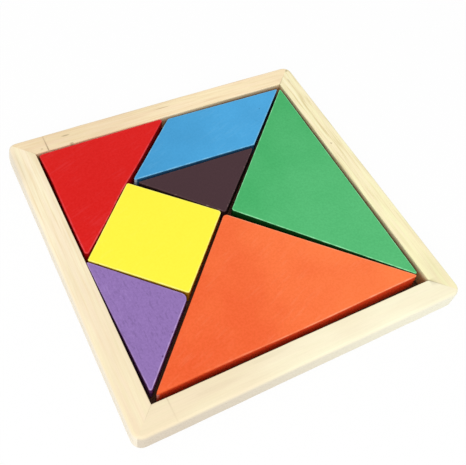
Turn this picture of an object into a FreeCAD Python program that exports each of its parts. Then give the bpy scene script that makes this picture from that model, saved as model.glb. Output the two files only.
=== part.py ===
# Tangram puzzle: seven painted tans that lie loosely in a mitred wooden tray.
# Millimetres, +Z up, origin on the table under the middle of the tray.
# The front rail is towards -Y, and the two finger joints are near the left rail, towards -X.
import FreeCAD
import Part
import PartDesign
import Sketcher
import os
from dataclasses import dataclass

doc = FreeCAD.newDocument("tangram_puzzle")

# Driving dimensions
SIZES = [
    ("tray_side", 115.0, "outer side of the square tray"),
    ("rail_width", 8.3, "width of a rail, seen from above"),
    ("rail_height", 8.0, "height of a rail"),
    ("corner_round", 3.5, "radius of the tray's outer corners, seen from above"),
    ("top_round", 1.3, "radius along the rails' outer top edge"),
    ("bottom_round", 0.8, "radius along the rails' outer bottom edge"),
    ("arris_round", 0.3, "radius that breaks the rails' inner top edge"),
    ("base_thickness", 1.5, "thickness of the base board"),
    ("base_recess", 0.1, "height of the base board's underside above the table"),
    ("rebate_depth", 3.0, "how far the rebate for the base board reaches under the rails"),
    ("base_edge_gap", 0.3, "room between the base board's edge and the rebate's side"),
    ("seam_distance", 12.9, "from the tray's left side to the finger joint's seam"),
    ("finger_length", 5.0, "length of the fingers"),
    ("finger_count", 3.0, "fingers over the height of a rail"),
    ("finger_tip", 0.4, "height of a finger's blunt tip"),
    ("tan_thickness", 6.0, "thickness of the tans"),
    ("tan_play", 2.0, "widest room that the tans leave beside a rail"),
    ("tan_corner_round", 0.9, "radius of the tans' square and blunt corners, seen from above"),
    ("tan_tip_round", 0.6, "radius of the tans' acute corners, seen from above"),
    ("worn_corner_round", 2.2, "radius of the purple tan's rubbed right-angled corner"),
    ("tan_edge_round", 0.4, "radius along the tans' upper edges"),
    ("tan_edge_chamfer", 0.3, "width of the bevel along the tans' lower edges"),
]
sheet = doc.addObject("Spreadsheet::Sheet", "sheet")
for row, (alias, size, meaning) in enumerate(SIZES, start=1):
    sheet.set(f"A{row}", alias)
    sheet.set(f"B{row}", str(size))
    sheet.set(f"C{row}", meaning)
    sheet.setAlias(f"B{row}", alias)
doc.recompute()

# Lengths that follow from the driving dimensions
OUTER = "(sheet.tray_side / 2)"
OPENING = "(sheet.tray_side - 2 * sheet.rail_width)"
INNER = f"({OPENING} / 2)"
LARGE_LEG = f"({OPENING} / sqrt(2))"
MEDIUM_LEG = f"({OPENING} / 2)"
SMALL_LEG = f"({OPENING} / sqrt(8))"
BOARD_TOP = "(sheet.base_recess + sheet.base_thickness)"

# A cut reaches this far past the wood, so that no sliver stays at its edge.
CUT_REACH = 5
# Two heights or lengths closer than this are the same one.
SAME = 1e-4


def value(expression):
    """The number that an expression on the sheet gives."""
    return float(sheet.evalExpression(expression))


def new_body(name):
    """An empty body whose label is the name of its piece."""
    body = doc.addObject("PartDesign::Body", name)
    body.Label = name
    return body


def new_sketch(body, name, role):
    """A sketch on one of the body's own origin planes."""
    sketch = body.newObject("Sketcher::SketchObject", name)
    plane = next(f for f in body.Origin.OriginFeatures if f.Role == role)
    sketch.AttachmentSupport = [(plane, "")]
    sketch.MapMode = "FlatFace"
    return sketch


def bind(sketch, constraint, expression):
    """Adds a constraint and ties it to the sheet."""
    index = sketch.addConstraint(constraint)
    sketch.setExpression(f"Constraints[{index}]", expression)


def hold_point(sketch, geometry, end, place):
    """Holds one point of a sketch at a place given by two expressions."""
    across, up = place
    bind(sketch, Sketcher.Constraint("DistanceX", -1, 1, geometry, end, value(across)), across)
    bind(sketch, Sketcher.Constraint("DistanceY", -1, 1, geometry, end, value(up)), up)


def draw_outline(sketch, corners):
    """Draws a closed outline of straight lines and holds each of its corners."""
    points = [FreeCAD.Vector(value(across), value(up), 0) for across, up in corners]
    following = points[1:] + points[:1]
    for start, end in zip(points, following):
        sketch.addGeometry(Part.LineSegment(start, end), False)
    for line in range(len(points)):
        after = (line + 1) % len(points)
        sketch.addConstraint(Sketcher.Constraint("Coincident", line, 2, after, 1))
        hold_point(sketch, line, 1, corners[line])


def pad(body, sketch, height):
    """Raises a sketch by a height given by an expression."""
    block = body.newObject("PartDesign::Pad", f"{body.Name}_pad")
    block.Profile = sketch
    block.setExpression("Length", height)
    doc.recompute()
    return block


def cut_through(body, sketch):
    """Cuts a sketch's outline right through the body, both ways."""
    before = body.Shape.Volume
    cut = body.newObject("PartDesign::Pocket", f"{sketch.Name}_cut")
    cut.Profile = sketch
    cut.Type = "ThroughAll"
    cut.SideType = "Symmetric"
    doc.recompute()
    if body.Shape.Volume > before - SAME:
        raise ValueError(f"{cut.Name} removes nothing")
    return cut


def edges_of(shape, wanted):
    """The names of those edges that a test on their end points picks."""
    names = []
    for index, edge in enumerate(shape.Edges, start=1):
        if wanted([vertex.Point for vertex in edge.Vertexes]):
            names.append(f"Edge{index}")
    return names


def round_edges(body, name, radius, wanted):
    """Rounds the picked edges of the body."""
    base = body.Tip
    rounding = body.newObject("PartDesign::Fillet", f"{body.Name}_{name}")
    rounding.Base = (base, edges_of(base.Shape, wanted))
    rounding.setExpression("Radius", radius)
    doc.recompute()
    return rounding


def bevel_edges(body, name, width, wanted):
    """Bevels the picked edges of the body."""
    base = body.Tip
    bevel = body.newObject("PartDesign::Chamfer", f"{body.Name}_{name}")
    bevel.Base = (base, edges_of(base.Shape, wanted))
    bevel.setExpression("Size", width)
    doc.recompute()
    return bevel


def all_at_height(ends, height):
    """True where every end point of an edge lies at one height."""
    return all(abs(point.z - height) < SAME for point in ends)


def stands_at(ends, corners):
    """True for an edge that stands on end at one of the corners, each given by two expressions."""
    low, high = ends[0], ends[-1]
    if abs(low.x - high.x) > SAME or abs(low.y - high.y) > SAME:
        return False
    return any(abs(low.x - value(across)) < SAME and abs(low.y - value(up)) < SAME
               for across, up in corners)


# Rails. Every rail is the same mitred strip, drawn as the front rail and then turned to its side.


def draw_strip_outline(sketch):
    """Draws a mitred strip from above: half of a rounded tray corner at each end."""
    outer = value(OUTER)
    inner = value(INNER)
    radius = value("sheet.corner_round")
    centre = outer - radius
    tip = centre + radius * value("1 / sqrt(2)")
    up = FreeCAD.Vector(0, 0, 1)
    turns = [value("pi * 1.25"), value("pi * 1.5"), value("pi * 1.75")]
    left_circle = Part.Circle(FreeCAD.Vector(-centre, -centre, 0), up, radius)
    right_circle = Part.Circle(FreeCAD.Vector(centre, -centre, 0), up, radius)
    inner_left = FreeCAD.Vector(-inner, -inner, 0)
    inner_right = FreeCAD.Vector(inner, -inner, 0)
    left_tip = FreeCAD.Vector(-tip, -tip, 0)
    right_tip = FreeCAD.Vector(tip, -tip, 0)
    left_foot = FreeCAD.Vector(-centre, -outer, 0)
    right_foot = FreeCAD.Vector(centre, -outer, 0)
    inside = sketch.addGeometry(Part.LineSegment(inner_right, inner_left), False)
    left_mitre = sketch.addGeometry(Part.LineSegment(inner_left, left_tip), False)
    left_arc = sketch.addGeometry(Part.ArcOfCircle(left_circle, turns[0], turns[1]), False)
    outside = sketch.addGeometry(Part.LineSegment(left_foot, right_foot), False)
    right_arc = sketch.addGeometry(Part.ArcOfCircle(right_circle, turns[1], turns[2]), False)
    right_mitre = sketch.addGeometry(Part.LineSegment(right_tip, inner_right), False)
    sketch.addConstraint(Sketcher.Constraint("Coincident", inside, 2, left_mitre, 1))
    sketch.addConstraint(Sketcher.Constraint("Coincident", left_mitre, 2, left_arc, 1))
    sketch.addConstraint(Sketcher.Constraint("Tangent", left_arc, 2, outside, 1))
    sketch.addConstraint(Sketcher.Constraint("Tangent", outside, 2, right_arc, 1))
    sketch.addConstraint(Sketcher.Constraint("Coincident", right_arc, 2, right_mitre, 1))
    sketch.addConstraint(Sketcher.Constraint("Coincident", right_mitre, 2, inside, 1))
    hold_point(sketch, inside, 1, (INNER, f"-{INNER}"))
    hold_point(sketch, inside, 2, (f"-{INNER}", f"-{INNER}"))
    corner_centre = f"({OUTER} - sheet.corner_round)"
    hold_point(sketch, left_arc, 3, (f"-{corner_centre}", f"-{corner_centre}"))
    hold_point(sketch, right_arc, 3, (corner_centre, f"-{corner_centre}"))
    bind(sketch, Sketcher.Constraint("Radius", left_arc, radius), "sheet.corner_round")
    sketch.addConstraint(Sketcher.Constraint("PointOnObject", left_arc, 3, left_mitre))
    sketch.addConstraint(Sketcher.Constraint("PointOnObject", right_arc, 3, right_mitre))


def make_strip(name, turn):
    """One whole mitred strip: its outline, the rebate for the base board and the rounded edges."""
    body = new_body(name)
    plan = new_sketch(body, f"{name}_plan", "XY_Plane")
    draw_strip_outline(plan)
    pad(body, plan, "sheet.rail_height")

    rebate = new_sketch(body, f"{name}_rebate", "YZ_Plane")
    side_of_rebate = f"(-{INNER} - sheet.rebate_depth)"
    mouth_of_rebate = f"(-{INNER} + {CUT_REACH})"
    draw_outline(rebate, [
        (side_of_rebate, f"(-{CUT_REACH})"),
        (mouth_of_rebate, f"(-{CUT_REACH})"),
        (mouth_of_rebate, BOARD_TOP),
        (side_of_rebate, BOARD_TOP),
    ])
    cut_through(body, rebate)

    height = value("sheet.rail_height")
    inner = value(INNER)
    foot = inner + value("sheet.rebate_depth")
    round_edges(body, "top_round", "sheet.top_round", lambda ends: (
        all_at_height(ends, height) and all(point.y < -inner - SAME for point in ends)))
    round_edges(body, "bottom_round", "sheet.bottom_round", lambda ends: (
        all_at_height(ends, 0) and all(point.y < -foot - SAME for point in ends)))
    round_edges(body, "arris_round", "sheet.arris_round", lambda ends: (
        all_at_height(ends, height) and all(abs(point.y + inner) < SAME for point in ends)))
    body.Placement = FreeCAD.Placement(FreeCAD.Vector(), FreeCAD.Rotation(turn, 0, 0))
    return body


def finger_line(side):
    """The zigzag of the finger joint, from the top down, on the strip's side towards -X or +X."""
    seam = f"({side} * ({OUTER} - sheet.seam_distance))"
    tip = f"({side} * ({OUTER} - sheet.seam_distance - sheet.finger_length))"
    pitch = "(sheet.rail_height / sheet.finger_count)"
    line = [(seam, f"(sheet.rail_height + {CUT_REACH})")]
    for finger in range(round(value("sheet.finger_count"))):
        root = f"(sheet.rail_height - {finger} * {pitch})"
        middle = f"(sheet.rail_height - {finger + 0.5} * {pitch})"
        foot = f"(sheet.rail_height - {finger + 1} * {pitch})"
        line += [
            (seam, f"({root} - sheet.finger_tip / 2)"),
            (tip, f"({middle} + sheet.finger_tip / 2)"),
            (tip, f"({middle} - sheet.finger_tip / 2)"),
            (seam, f"({foot} + sheet.finger_tip / 2)"),
        ]
    line.append((seam, f"(-{CUT_REACH})"))
    return line


def cut_at_joint(body, side, removed_end):
    """Cuts the strip along its finger joint and takes away the end that is named by its sign."""
    joint = new_sketch(body, f"{body.Name}_joint", "XZ_Plane")
    far = f"({removed_end} * ({OUTER} + {CUT_REACH}))"
    line = finger_line(side)
    draw_outline(joint, line + [(far, line[-1][1]), (far, line[0][1])])
    cut_through(body, joint)


LEFT = -1
RIGHT = 1
QUARTER_TURN = 90

make_strip("right_rail", QUARTER_TURN)
make_strip("left_rail", -QUARTER_TURN)
# The turned back rail has its joint on its own right side, which is the tray's left.
for rail, turn, joint_side in (("front_rail", 0, LEFT), ("back_rail", 2 * QUARTER_TURN, RIGHT)):
    cut_at_joint(make_strip(rail, turn), joint_side, joint_side)
    cut_at_joint(make_strip(f"{rail}_end", turn), joint_side, -joint_side)

# Base board, glued up into the rails' rebates
board = new_body("base_board")
board_half = f"({INNER} + sheet.rebate_depth - sheet.base_edge_gap)"
board_plan = new_sketch(board, "base_board_plan", "XY_Plane")
draw_outline(board_plan, [
    (f"-{board_half}", f"-{board_half}"),
    (board_half, f"-{board_half}"),
    (board_half, board_half),
    (f"-{board_half}", board_half),
])
pad(board, board_plan, "sheet.base_thickness")
board.setExpression("Placement.Base.z", "sheet.base_recess")


# Tans. The opening is dissected as every tangram is, and each tan is its cell, trimmed on all sides.


@dataclass(frozen=True)
class Tan:
    """One tan: its cell, where that cell's incentre is, and how the tan lies in it.

    The trim, the shift and the travel of a tip as the tan turns are shares of the tans' play.
    """

    name: str
    form: str
    cell_leg: str
    home: tuple
    home_turn: float
    trim: float
    shift: tuple
    tip_travel: float


def inradius(leg):
    """The radius of the circle inside a right-angled triangle with two equal legs."""
    return f"({leg} * (1 - 1 / sqrt(2)))"


def triangle(leg, trim):
    """A triangle's trimmed corners about its incentre, with the right angle at the top."""
    trimmed = f"({leg} - (2 + sqrt(2)) * {trim})"
    half_base = f"({trimmed} / sqrt(2))"
    return [
        ("0", f"({trimmed} * (sqrt(2) - 1))"),
        (f"-{half_base}", f"-{inradius(trimmed)}"),
        (half_base, f"-{inradius(trimmed)}"),
    ]


def square(leg, trim):
    """A square's trimmed corners about its centre."""
    half = f"({leg} / 2 - {trim})"
    return [(half, half), (f"-{half}", half), (f"-{half}", f"-{half}"), (half, f"-{half}")]


def parallelogram(leg, trim):
    """A 45 degree parallelogram's trimmed corners about its centre, leaning towards +X."""
    half_height = f"({leg} / 4 - {trim})"
    half_side = f"({leg} / 2 - sqrt(2) * {trim})"
    return [
        (f"({half_side} + {half_height})", half_height),
        (f"({half_height} - {half_side})", half_height),
        (f"-({half_side} + {half_height})", f"-{half_height}"),
        (f"({half_side} - {half_height})", f"-{half_height}"),
    ]


FORMS = {"triangle": triangle, "square": square, "parallelogram": parallelogram}
# Which corners of each outline are acute
TIPS = {"triangle": (1, 2), "square": (), "parallelogram": (0, 2)}

TANS = [
    Tan("orange_large_triangle", "triangle", LARGE_LEG,
        ("0", f"({inradius(LARGE_LEG)} - {INNER})"), 0, 0.30, (0.0, 0.90), 0.36),
    Tan("green_large_triangle", "triangle", LARGE_LEG,
        (f"({INNER} - {inradius(LARGE_LEG)})", "0"), 90, 0.57, (0.03, 0.47), -0.26),
    Tan("red_medium_triangle", "triangle", MEDIUM_LEG,
        (f"({inradius(MEDIUM_LEG)} - {INNER})", f"({INNER} - {inradius(MEDIUM_LEG)})"),
        45, 0.42, (-0.13, 0.25), 0.0),
    Tan("blue_parallelogram", "parallelogram", MEDIUM_LEG,
        (f"({OPENING} / 8)", f"({OPENING} * 3 / 8)"), 0, 0.35, (-0.06, -0.06), -0.42),
    Tan("yellow_square", "square", SMALL_LEG,
        (f"(-{OPENING} / 4)", "0"), 45, 0.29, (-0.03, 1.12), 0.22),
    Tan("brown_small_triangle", "triangle", SMALL_LEG,
        ("0", f"({OPENING} / 4 - {inradius(SMALL_LEG)})"), 180, 0.42, (0.27, 0.25), -0.29),
    Tan("purple_small_triangle", "triangle", SMALL_LEG,
        (f"({inradius(SMALL_LEG)} - {INNER})", f"(-{OPENING} / 4)"), -90, 0.17, (0.15, 1.10), 0.22),
]


def play(share):
    """A share of the tans' play, as an expression."""
    return f"({share} * sheet.tan_play)"


def make_tan(tan):
    """One tan: its trimmed outline, with rounded corners and edges, laid on the base board."""
    body = new_body(tan.name)
    plan = new_sketch(body, f"{tan.name}_plan", "XY_Plane")
    outline = FORMS[tan.form](tan.cell_leg, play(tan.trim))
    draw_outline(plan, outline)
    pad(body, plan, "sheet.tan_thickness")
    height = value("sheet.tan_thickness")
    tips = [outline[corner] for corner in TIPS[tan.form]]
    others = [corner for corner in outline if corner not in tips]
    worn = tan.name == "purple_small_triangle"
    corner_round = "sheet.worn_corner_round" if worn else "sheet.tan_corner_round"
    round_edges(body, "corners", corner_round, lambda ends: stands_at(ends, others))
    if tips:
        round_edges(body, "tips", "sheet.tan_tip_round", lambda ends: stands_at(ends, tips))
    round_edges(body, "upper_edges", "sheet.tan_edge_round", lambda ends: (
        all_at_height(ends, height)))
    bevel_edges(body, "lower_edges", "sheet.tan_edge_chamfer", lambda ends: (
        all_at_height(ends, 0)))
    home_x, home_y = tan.home
    body.setExpression("Placement.Base.x", f"{home_x} + {play(tan.shift[0])}")
    body.setExpression("Placement.Base.y", f"{home_y} + {play(tan.shift[1])}")
    body.setExpression("Placement.Base.z", BOARD_TOP)
    body.setExpression("Placement.Rotation.Angle",
                       f"{tan.home_turn} + {play(tan.tip_travel)} / {tan.cell_leg} * 180 / pi")


for tan in TANS:
    make_tan(tan)

doc.recompute()
for item in doc.Objects:
    if "Invalid" in item.State or "Error" in item.State:
        raise ValueError(f"{item.Name} failed: {item.State}")

bodies = [item for item in doc.Objects if item.TypeId == "PartDesign::Body"]
os.makedirs("parts", exist_ok=True)
for body in bodies:
    if body.Shape.isNull() or not body.Shape.isValid():
        raise ValueError(f"{body.Label} is not a sound solid")
    box = body.Shape.optimalBoundingBox()
    print(f"{body.Label}: {len(body.Shape.Solids)} solid, {body.Shape.Volume:.1f} mm3, "
          f"x {box.XMin:.2f}..{box.XMax:.2f}, y {box.YMin:.2f}..{box.YMax:.2f}, "
          f"z {box.ZMin:.2f}..{box.ZMax:.2f}")
    body.Shape.exportStep(f"parts/{body.Label}.step")
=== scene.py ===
"""Dresses the tangram puzzle: seven painted wooden tans that lie in a mitred tray of pale pine.

Metres, +Z up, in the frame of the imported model. The origin is on the table under the middle of the
tray, the front rail is towards -Y, and the two finger joints are near the left rail, towards -X.
"""

import logging
import math
from dataclasses import dataclass, field
from enum import Enum
from typing import Any

import bmesh
import bpy
import numpy as np
from mathutils import Matrix, Vector

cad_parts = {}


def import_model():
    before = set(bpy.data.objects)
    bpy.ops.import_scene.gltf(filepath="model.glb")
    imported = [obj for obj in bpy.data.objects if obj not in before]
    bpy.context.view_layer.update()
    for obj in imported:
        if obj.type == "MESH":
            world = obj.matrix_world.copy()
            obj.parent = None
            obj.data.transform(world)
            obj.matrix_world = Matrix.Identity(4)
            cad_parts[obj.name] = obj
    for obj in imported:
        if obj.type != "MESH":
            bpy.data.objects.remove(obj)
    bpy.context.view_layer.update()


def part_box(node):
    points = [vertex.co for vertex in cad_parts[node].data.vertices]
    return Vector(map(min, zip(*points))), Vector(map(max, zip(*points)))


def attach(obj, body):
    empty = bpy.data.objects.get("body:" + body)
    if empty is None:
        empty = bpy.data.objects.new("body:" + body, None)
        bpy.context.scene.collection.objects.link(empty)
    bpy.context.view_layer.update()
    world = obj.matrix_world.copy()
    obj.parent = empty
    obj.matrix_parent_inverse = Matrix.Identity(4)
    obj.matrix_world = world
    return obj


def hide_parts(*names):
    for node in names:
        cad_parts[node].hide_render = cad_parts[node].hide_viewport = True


LOG = logging.getLogger("tangram_puzzle")

MM = 0.001
IMAGE_WIDTH = 466
ROOT = "root"
FULL_TURN = 2 * math.pi
# Edges that bend by more than this stay crisp under smooth shading.
CRISP_ANGLE = math.radians(38)
# Points nearer than this to each other, in metres, are one point.
SAME_POINT = 1e-7

Colour = tuple[float, float, float, float]


def screen(red: int, green: int, blue: int) -> Colour:
    """A colour as a screen shows it, 0 to 255 a channel, as the linear colour that a shader takes.

    Args:
        red: the red channel.
        green: the green channel.
        blue: the blue channel.

    Returns:
        The linear red, green, blue and an alpha of 1.
    """
    shares = np.array([red, green, blue]) / 255.0
    linear = np.where(shares <= 0.04045, shares / 12.92, ((shares + 0.055) / 1.055) ** 2.4)
    return (float(linear[0]), float(linear[1]), float(linear[2]), 1.0)


# Unevenness


def ripple(place: np.ndarray, seed: int, waves: tuple[int, int]) -> np.ndarray:
    """A smooth unevenness along a closed line.

    The formula is a sum of cosines. Each has its own whole number of waves to the round, a random
    phase, and a random height that falls with the root of its number of waves.

    Args:
        place: places along the line, as shares of its length.
        seed: picks the phases and heights.
        waves: the fewest and the most waves to the round.

    Returns:
        Heights from -1 to 1, in the shape of place.
    """
    random = np.random.default_rng(seed)
    counts = np.arange(waves[0], waves[1] + 1)
    phases = random.uniform(0, FULL_TURN, counts.size)
    heights = random.normal(size=counts.size) / np.sqrt(counts)
    curve = np.cos(FULL_TURN * place[..., None] * counts + phases) @ heights
    return curve / np.abs(curve).max()


def swell(x: np.ndarray, y: np.ndarray, seed: int, wavelengths: tuple[float, float]) -> np.ndarray:
    """The gentle swell of a hand-sanded face.

    The formula is a sum of a dozen plane waves in random directions, each with its own wavelength.

    Args:
        x: places across, in millimetres.
        y: places up, in millimetres.
        seed: picks the waves.
        wavelengths: the shortest and the longest wavelength, in millimetres.

    Returns:
        Heights of about -1 to 1, in the shape of x.
    """
    random = np.random.default_rng(seed)
    count = 12
    turns = random.uniform(0, FULL_TURN, count)
    lengths = random.uniform(wavelengths[0], wavelengths[1], count)
    phases = random.uniform(0, FULL_TURN, count)
    along = x[..., None] * np.cos(turns) + y[..., None] * np.sin(turns)
    waves = np.cos(FULL_TURN * along / lengths + phases)
    return waves.sum(axis=-1) / math.sqrt(count * 2)


def bump(distance: np.ndarray, reach: float) -> np.ndarray:
    """A bell curve: 1 at no distance, and nearly 0 past twice its reach."""
    return np.exp(-((distance / reach) ** 2))


# Meshes


def grid_faces(rows: int, columns: int, closed: bool) -> np.ndarray:
    """The quads of a grid whose point (row, column) has the number row * columns + column.

    Args:
        rows: how many rows of points the grid has.
        columns: how many points a row has.
        closed: whether the last column joins the first.

    Returns:
        (n, 4) point numbers. With columns to the right and rows upwards, a quad faces the viewer.
    """
    row, column = np.meshgrid(
        np.arange(rows - 1), np.arange(columns if closed else columns - 1), indexing="ij"
    )
    after = (column + 1) % columns
    quads = np.stack(
        [
            row * columns + column,
            row * columns + after,
            (row + 1) * columns + after,
            (row + 1) * columns + column,
        ],
        axis=-1,
    )
    return quads.reshape(-1, 4)


@dataclass
class Surface:
    """A mesh in the making.

    Attributes:
        points: (n, 3) points, in millimetres.
        faces: the point numbers of each face, anticlockwise from outside.
        marks: amounts that are painted on the points, by name, for a finish to read.
    """

    points: np.ndarray
    faces: list[list[int]]
    marks: dict[str, np.ndarray] = field(default_factory=dict)

    def to_object(self, name: str) -> bpy.types.Object:
        """Makes the Blender object, with doubled points merged and smooth shading.

        Args:
            name: the name of the piece.

        Returns:
            The object, at the origin, with its place in its mesh.
        """
        mesh = bpy.data.meshes.new(name)
        mesh.from_pydata((self.points * MM).tolist(), [], self.faces)
        for mark, amounts in self.marks.items():
            layer = mesh.attributes.new(mark, "FLOAT", "POINT")
            layer.data.foreach_set("value", amounts.astype(np.float32).ravel())
        work = bmesh.new()
        work.from_mesh(mesh)
        bmesh.ops.remove_doubles(work, verts=work.verts, dist=SAME_POINT)
        bmesh.ops.dissolve_degenerate(work, edges=work.edges, dist=SAME_POINT)
        work.to_mesh(mesh)
        work.free()
        mesh.shade_smooth()
        mesh.set_sharp_from_angle(angle=CRISP_ANGLE)
        mesh.update()
        piece = bpy.data.objects.new(name, mesh)
        bpy.context.scene.collection.objects.link(piece)
        return piece


def seat(piece: bpy.types.Object, material: bpy.types.Material, node: str) -> None:
    """Gives a new piece its finish and puts it in the place of a node of the frame.

    Args:
        piece: the new piece.
        material: its finish.
        node: the node that the piece stands for.
    """
    piece.data.materials.append(material)
    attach(piece, ROOT)
    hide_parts(node)
    LOG.info("%s: %d faces", piece.name, len(piece.data.polygons))


# Finishes


class NodeSheet:
    """Lays out the nodes of one material."""

    def __init__(self, name: str) -> None:
        """Starts a material with nothing in it but its output.

        Args:
            name: what the material is called.
        """
        self.material = bpy.data.materials.new(name)
        self.material.use_nodes = True
        self.tree = self.material.node_tree
        self.tree.nodes.clear()
        self.output = self.tree.nodes.new("ShaderNodeOutputMaterial")

    def add(self, kind: str, inputs: dict[int | str, Any], **settings: Any) -> bpy.types.Node:
        """Adds one node.

        Args:
            kind: the node's type.
            inputs: values for its sockets, or sockets of other nodes that are linked to them.
            settings: its other settings.

        Returns:
            The node.
        """
        node = self.tree.nodes.new(kind)
        for setting, choice in settings.items():
            setattr(node, setting, choice)
        for socket, given in inputs.items():
            if isinstance(given, bpy.types.NodeSocket):
                self.tree.links.new(given, node.inputs[socket])
            else:
                node.inputs[socket].default_value = given
        return node

    def place(
        self, turn: float = 0.0, centre: tuple[float, float, float] = (0.0, 0.0, 0.0)
    ) -> bpy.types.NodeSocket:
        """Object coordinates, turned back by an angle and counted from a point, in metres.

        Args:
            turn: how far the pattern is turned about +Z, in degrees.
            centre: the point, in the turned axes and in millimetres.

        Returns:
            The vector socket.
        """
        origin = self.add("ShaderNodeTexCoord", {}).outputs["Object"]
        shift = tuple(-c * MM for c in centre)
        mapping = self.add("ShaderNodeMapping", {
            "Vector": origin, "Location": shift, "Rotation": (0, 0, -math.radians(turn)),
        })
        return mapping.outputs["Vector"]

    def stretch(
        self, vector: bpy.types.NodeSocket, x: float, y: float = 1.0, z: float = 1.0
    ) -> bpy.types.NodeSocket:
        """A vector with each of its parts multiplied, which draws a pattern out along an axis."""
        node = self.add("ShaderNodeVectorMath", {0: vector, 1: (x, y, z)}, operation="MULTIPLY")
        return node.outputs["Vector"]

    def length(self, vector: bpy.types.NodeSocket) -> bpy.types.NodeSocket:
        """The length of a vector."""
        return self.add("ShaderNodeVectorMath", {0: vector}, operation="LENGTH").outputs["Value"]

    def noise(
        self, vector: bpy.types.NodeSocket, scale: float, detail: float = 2.0, roughness: float = 0.5
    ) -> bpy.types.NodeSocket:
        """Noise from 0 to 1, about 0.5 on average.

        Args:
            vector: where it is read.
            scale: cells a metre.
            detail: how many finer layers it has.
            roughness: how strong the finer layers are.

        Returns:
            The value socket.
        """
        node = self.add("ShaderNodeTexNoise", {
            "Vector": vector, "Scale": scale, "Detail": detail, "Roughness": roughness,
        })
        return node.outputs["Fac"]

    def sum(self, first: Any, second: Any) -> bpy.types.NodeSocket:
        """Two values added."""
        return self.add("ShaderNodeMath", {0: first, 1: second}, operation="ADD").outputs[0]

    def product(self, first: Any, second: Any) -> bpy.types.NodeSocket:
        """Two values multiplied."""
        return self.add("ShaderNodeMath", {0: first, 1: second}, operation="MULTIPLY").outputs[0]

    def between(
        self, value: bpy.types.NodeSocket, low: float, high: float, start: float = 0.0, stop: float = 1.0
    ) -> bpy.types.NodeSocket:
        """A value from low to high turned smoothly into one from start to stop, and held there past them."""
        node = self.add("ShaderNodeMapRange", {
            "Value": value, "From Min": low, "From Max": high, "To Min": start, "To Max": stop,
        }, interpolation_type="SMOOTHSTEP")
        return node.outputs["Result"]

    def mix(self, amount: Any, first: Any, second: Any) -> bpy.types.NodeSocket:
        """The first colour where the amount is 0 and the second where it is 1."""
        node = self.add("ShaderNodeMix", {0: amount, 6: first, 7: second}, data_type="RGBA")
        return node.outputs[2]

    def shift(self, colour: Any, value: float, saturation: float) -> bpy.types.NodeSocket:
        """A colour with its brightness and its strength multiplied."""
        node = self.add("ShaderNodeHueSaturation", {
            "Color": colour, "Value": value, "Saturation": saturation,
        })
        return node.outputs[0]

    def mark(self, name: str) -> bpy.types.NodeSocket:
        """What a mesh has painted on its points under a name."""
        return self.add("ShaderNodeAttribute", {}, attribute_name=name).outputs["Fac"]

    def shade(self, colour: Any, roughness: Any, specular: float, height: Any, depth: float) -> None:
        """Ends the material in one shader.

        Args:
            colour: the base colour.
            roughness: the roughness.
            specular: the strength of its gloss.
            height: the bump's height, from 0 to 1.
            depth: how deep the bump is, in millimetres.
        """
        relief = self.add("ShaderNodeBump", {
            "Height": height, "Distance": depth * MM, "Strength": 1.0,
        })
        shader = self.add("ShaderNodeBsdfPrincipled", {
            "Base Color": colour, "Roughness": roughness, "Specular IOR Level": specular,
            "Normal": relief.outputs["Normal"],
        })
        self.tree.links.new(shader.outputs["BSDF"], self.output.inputs["Surface"])


@dataclass(frozen=True)
class Dent:
    """A small dent in a painted face, shown as a dark spot of painted shade.

    Attributes:
        x: where it is across, in millimetres.
        y: where it is up, in millimetres.
        radius: its radius, in millimetres.
        strength: how strongly it shows.
    """

    x: float
    y: float
    radius: float
    strength: float


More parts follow.
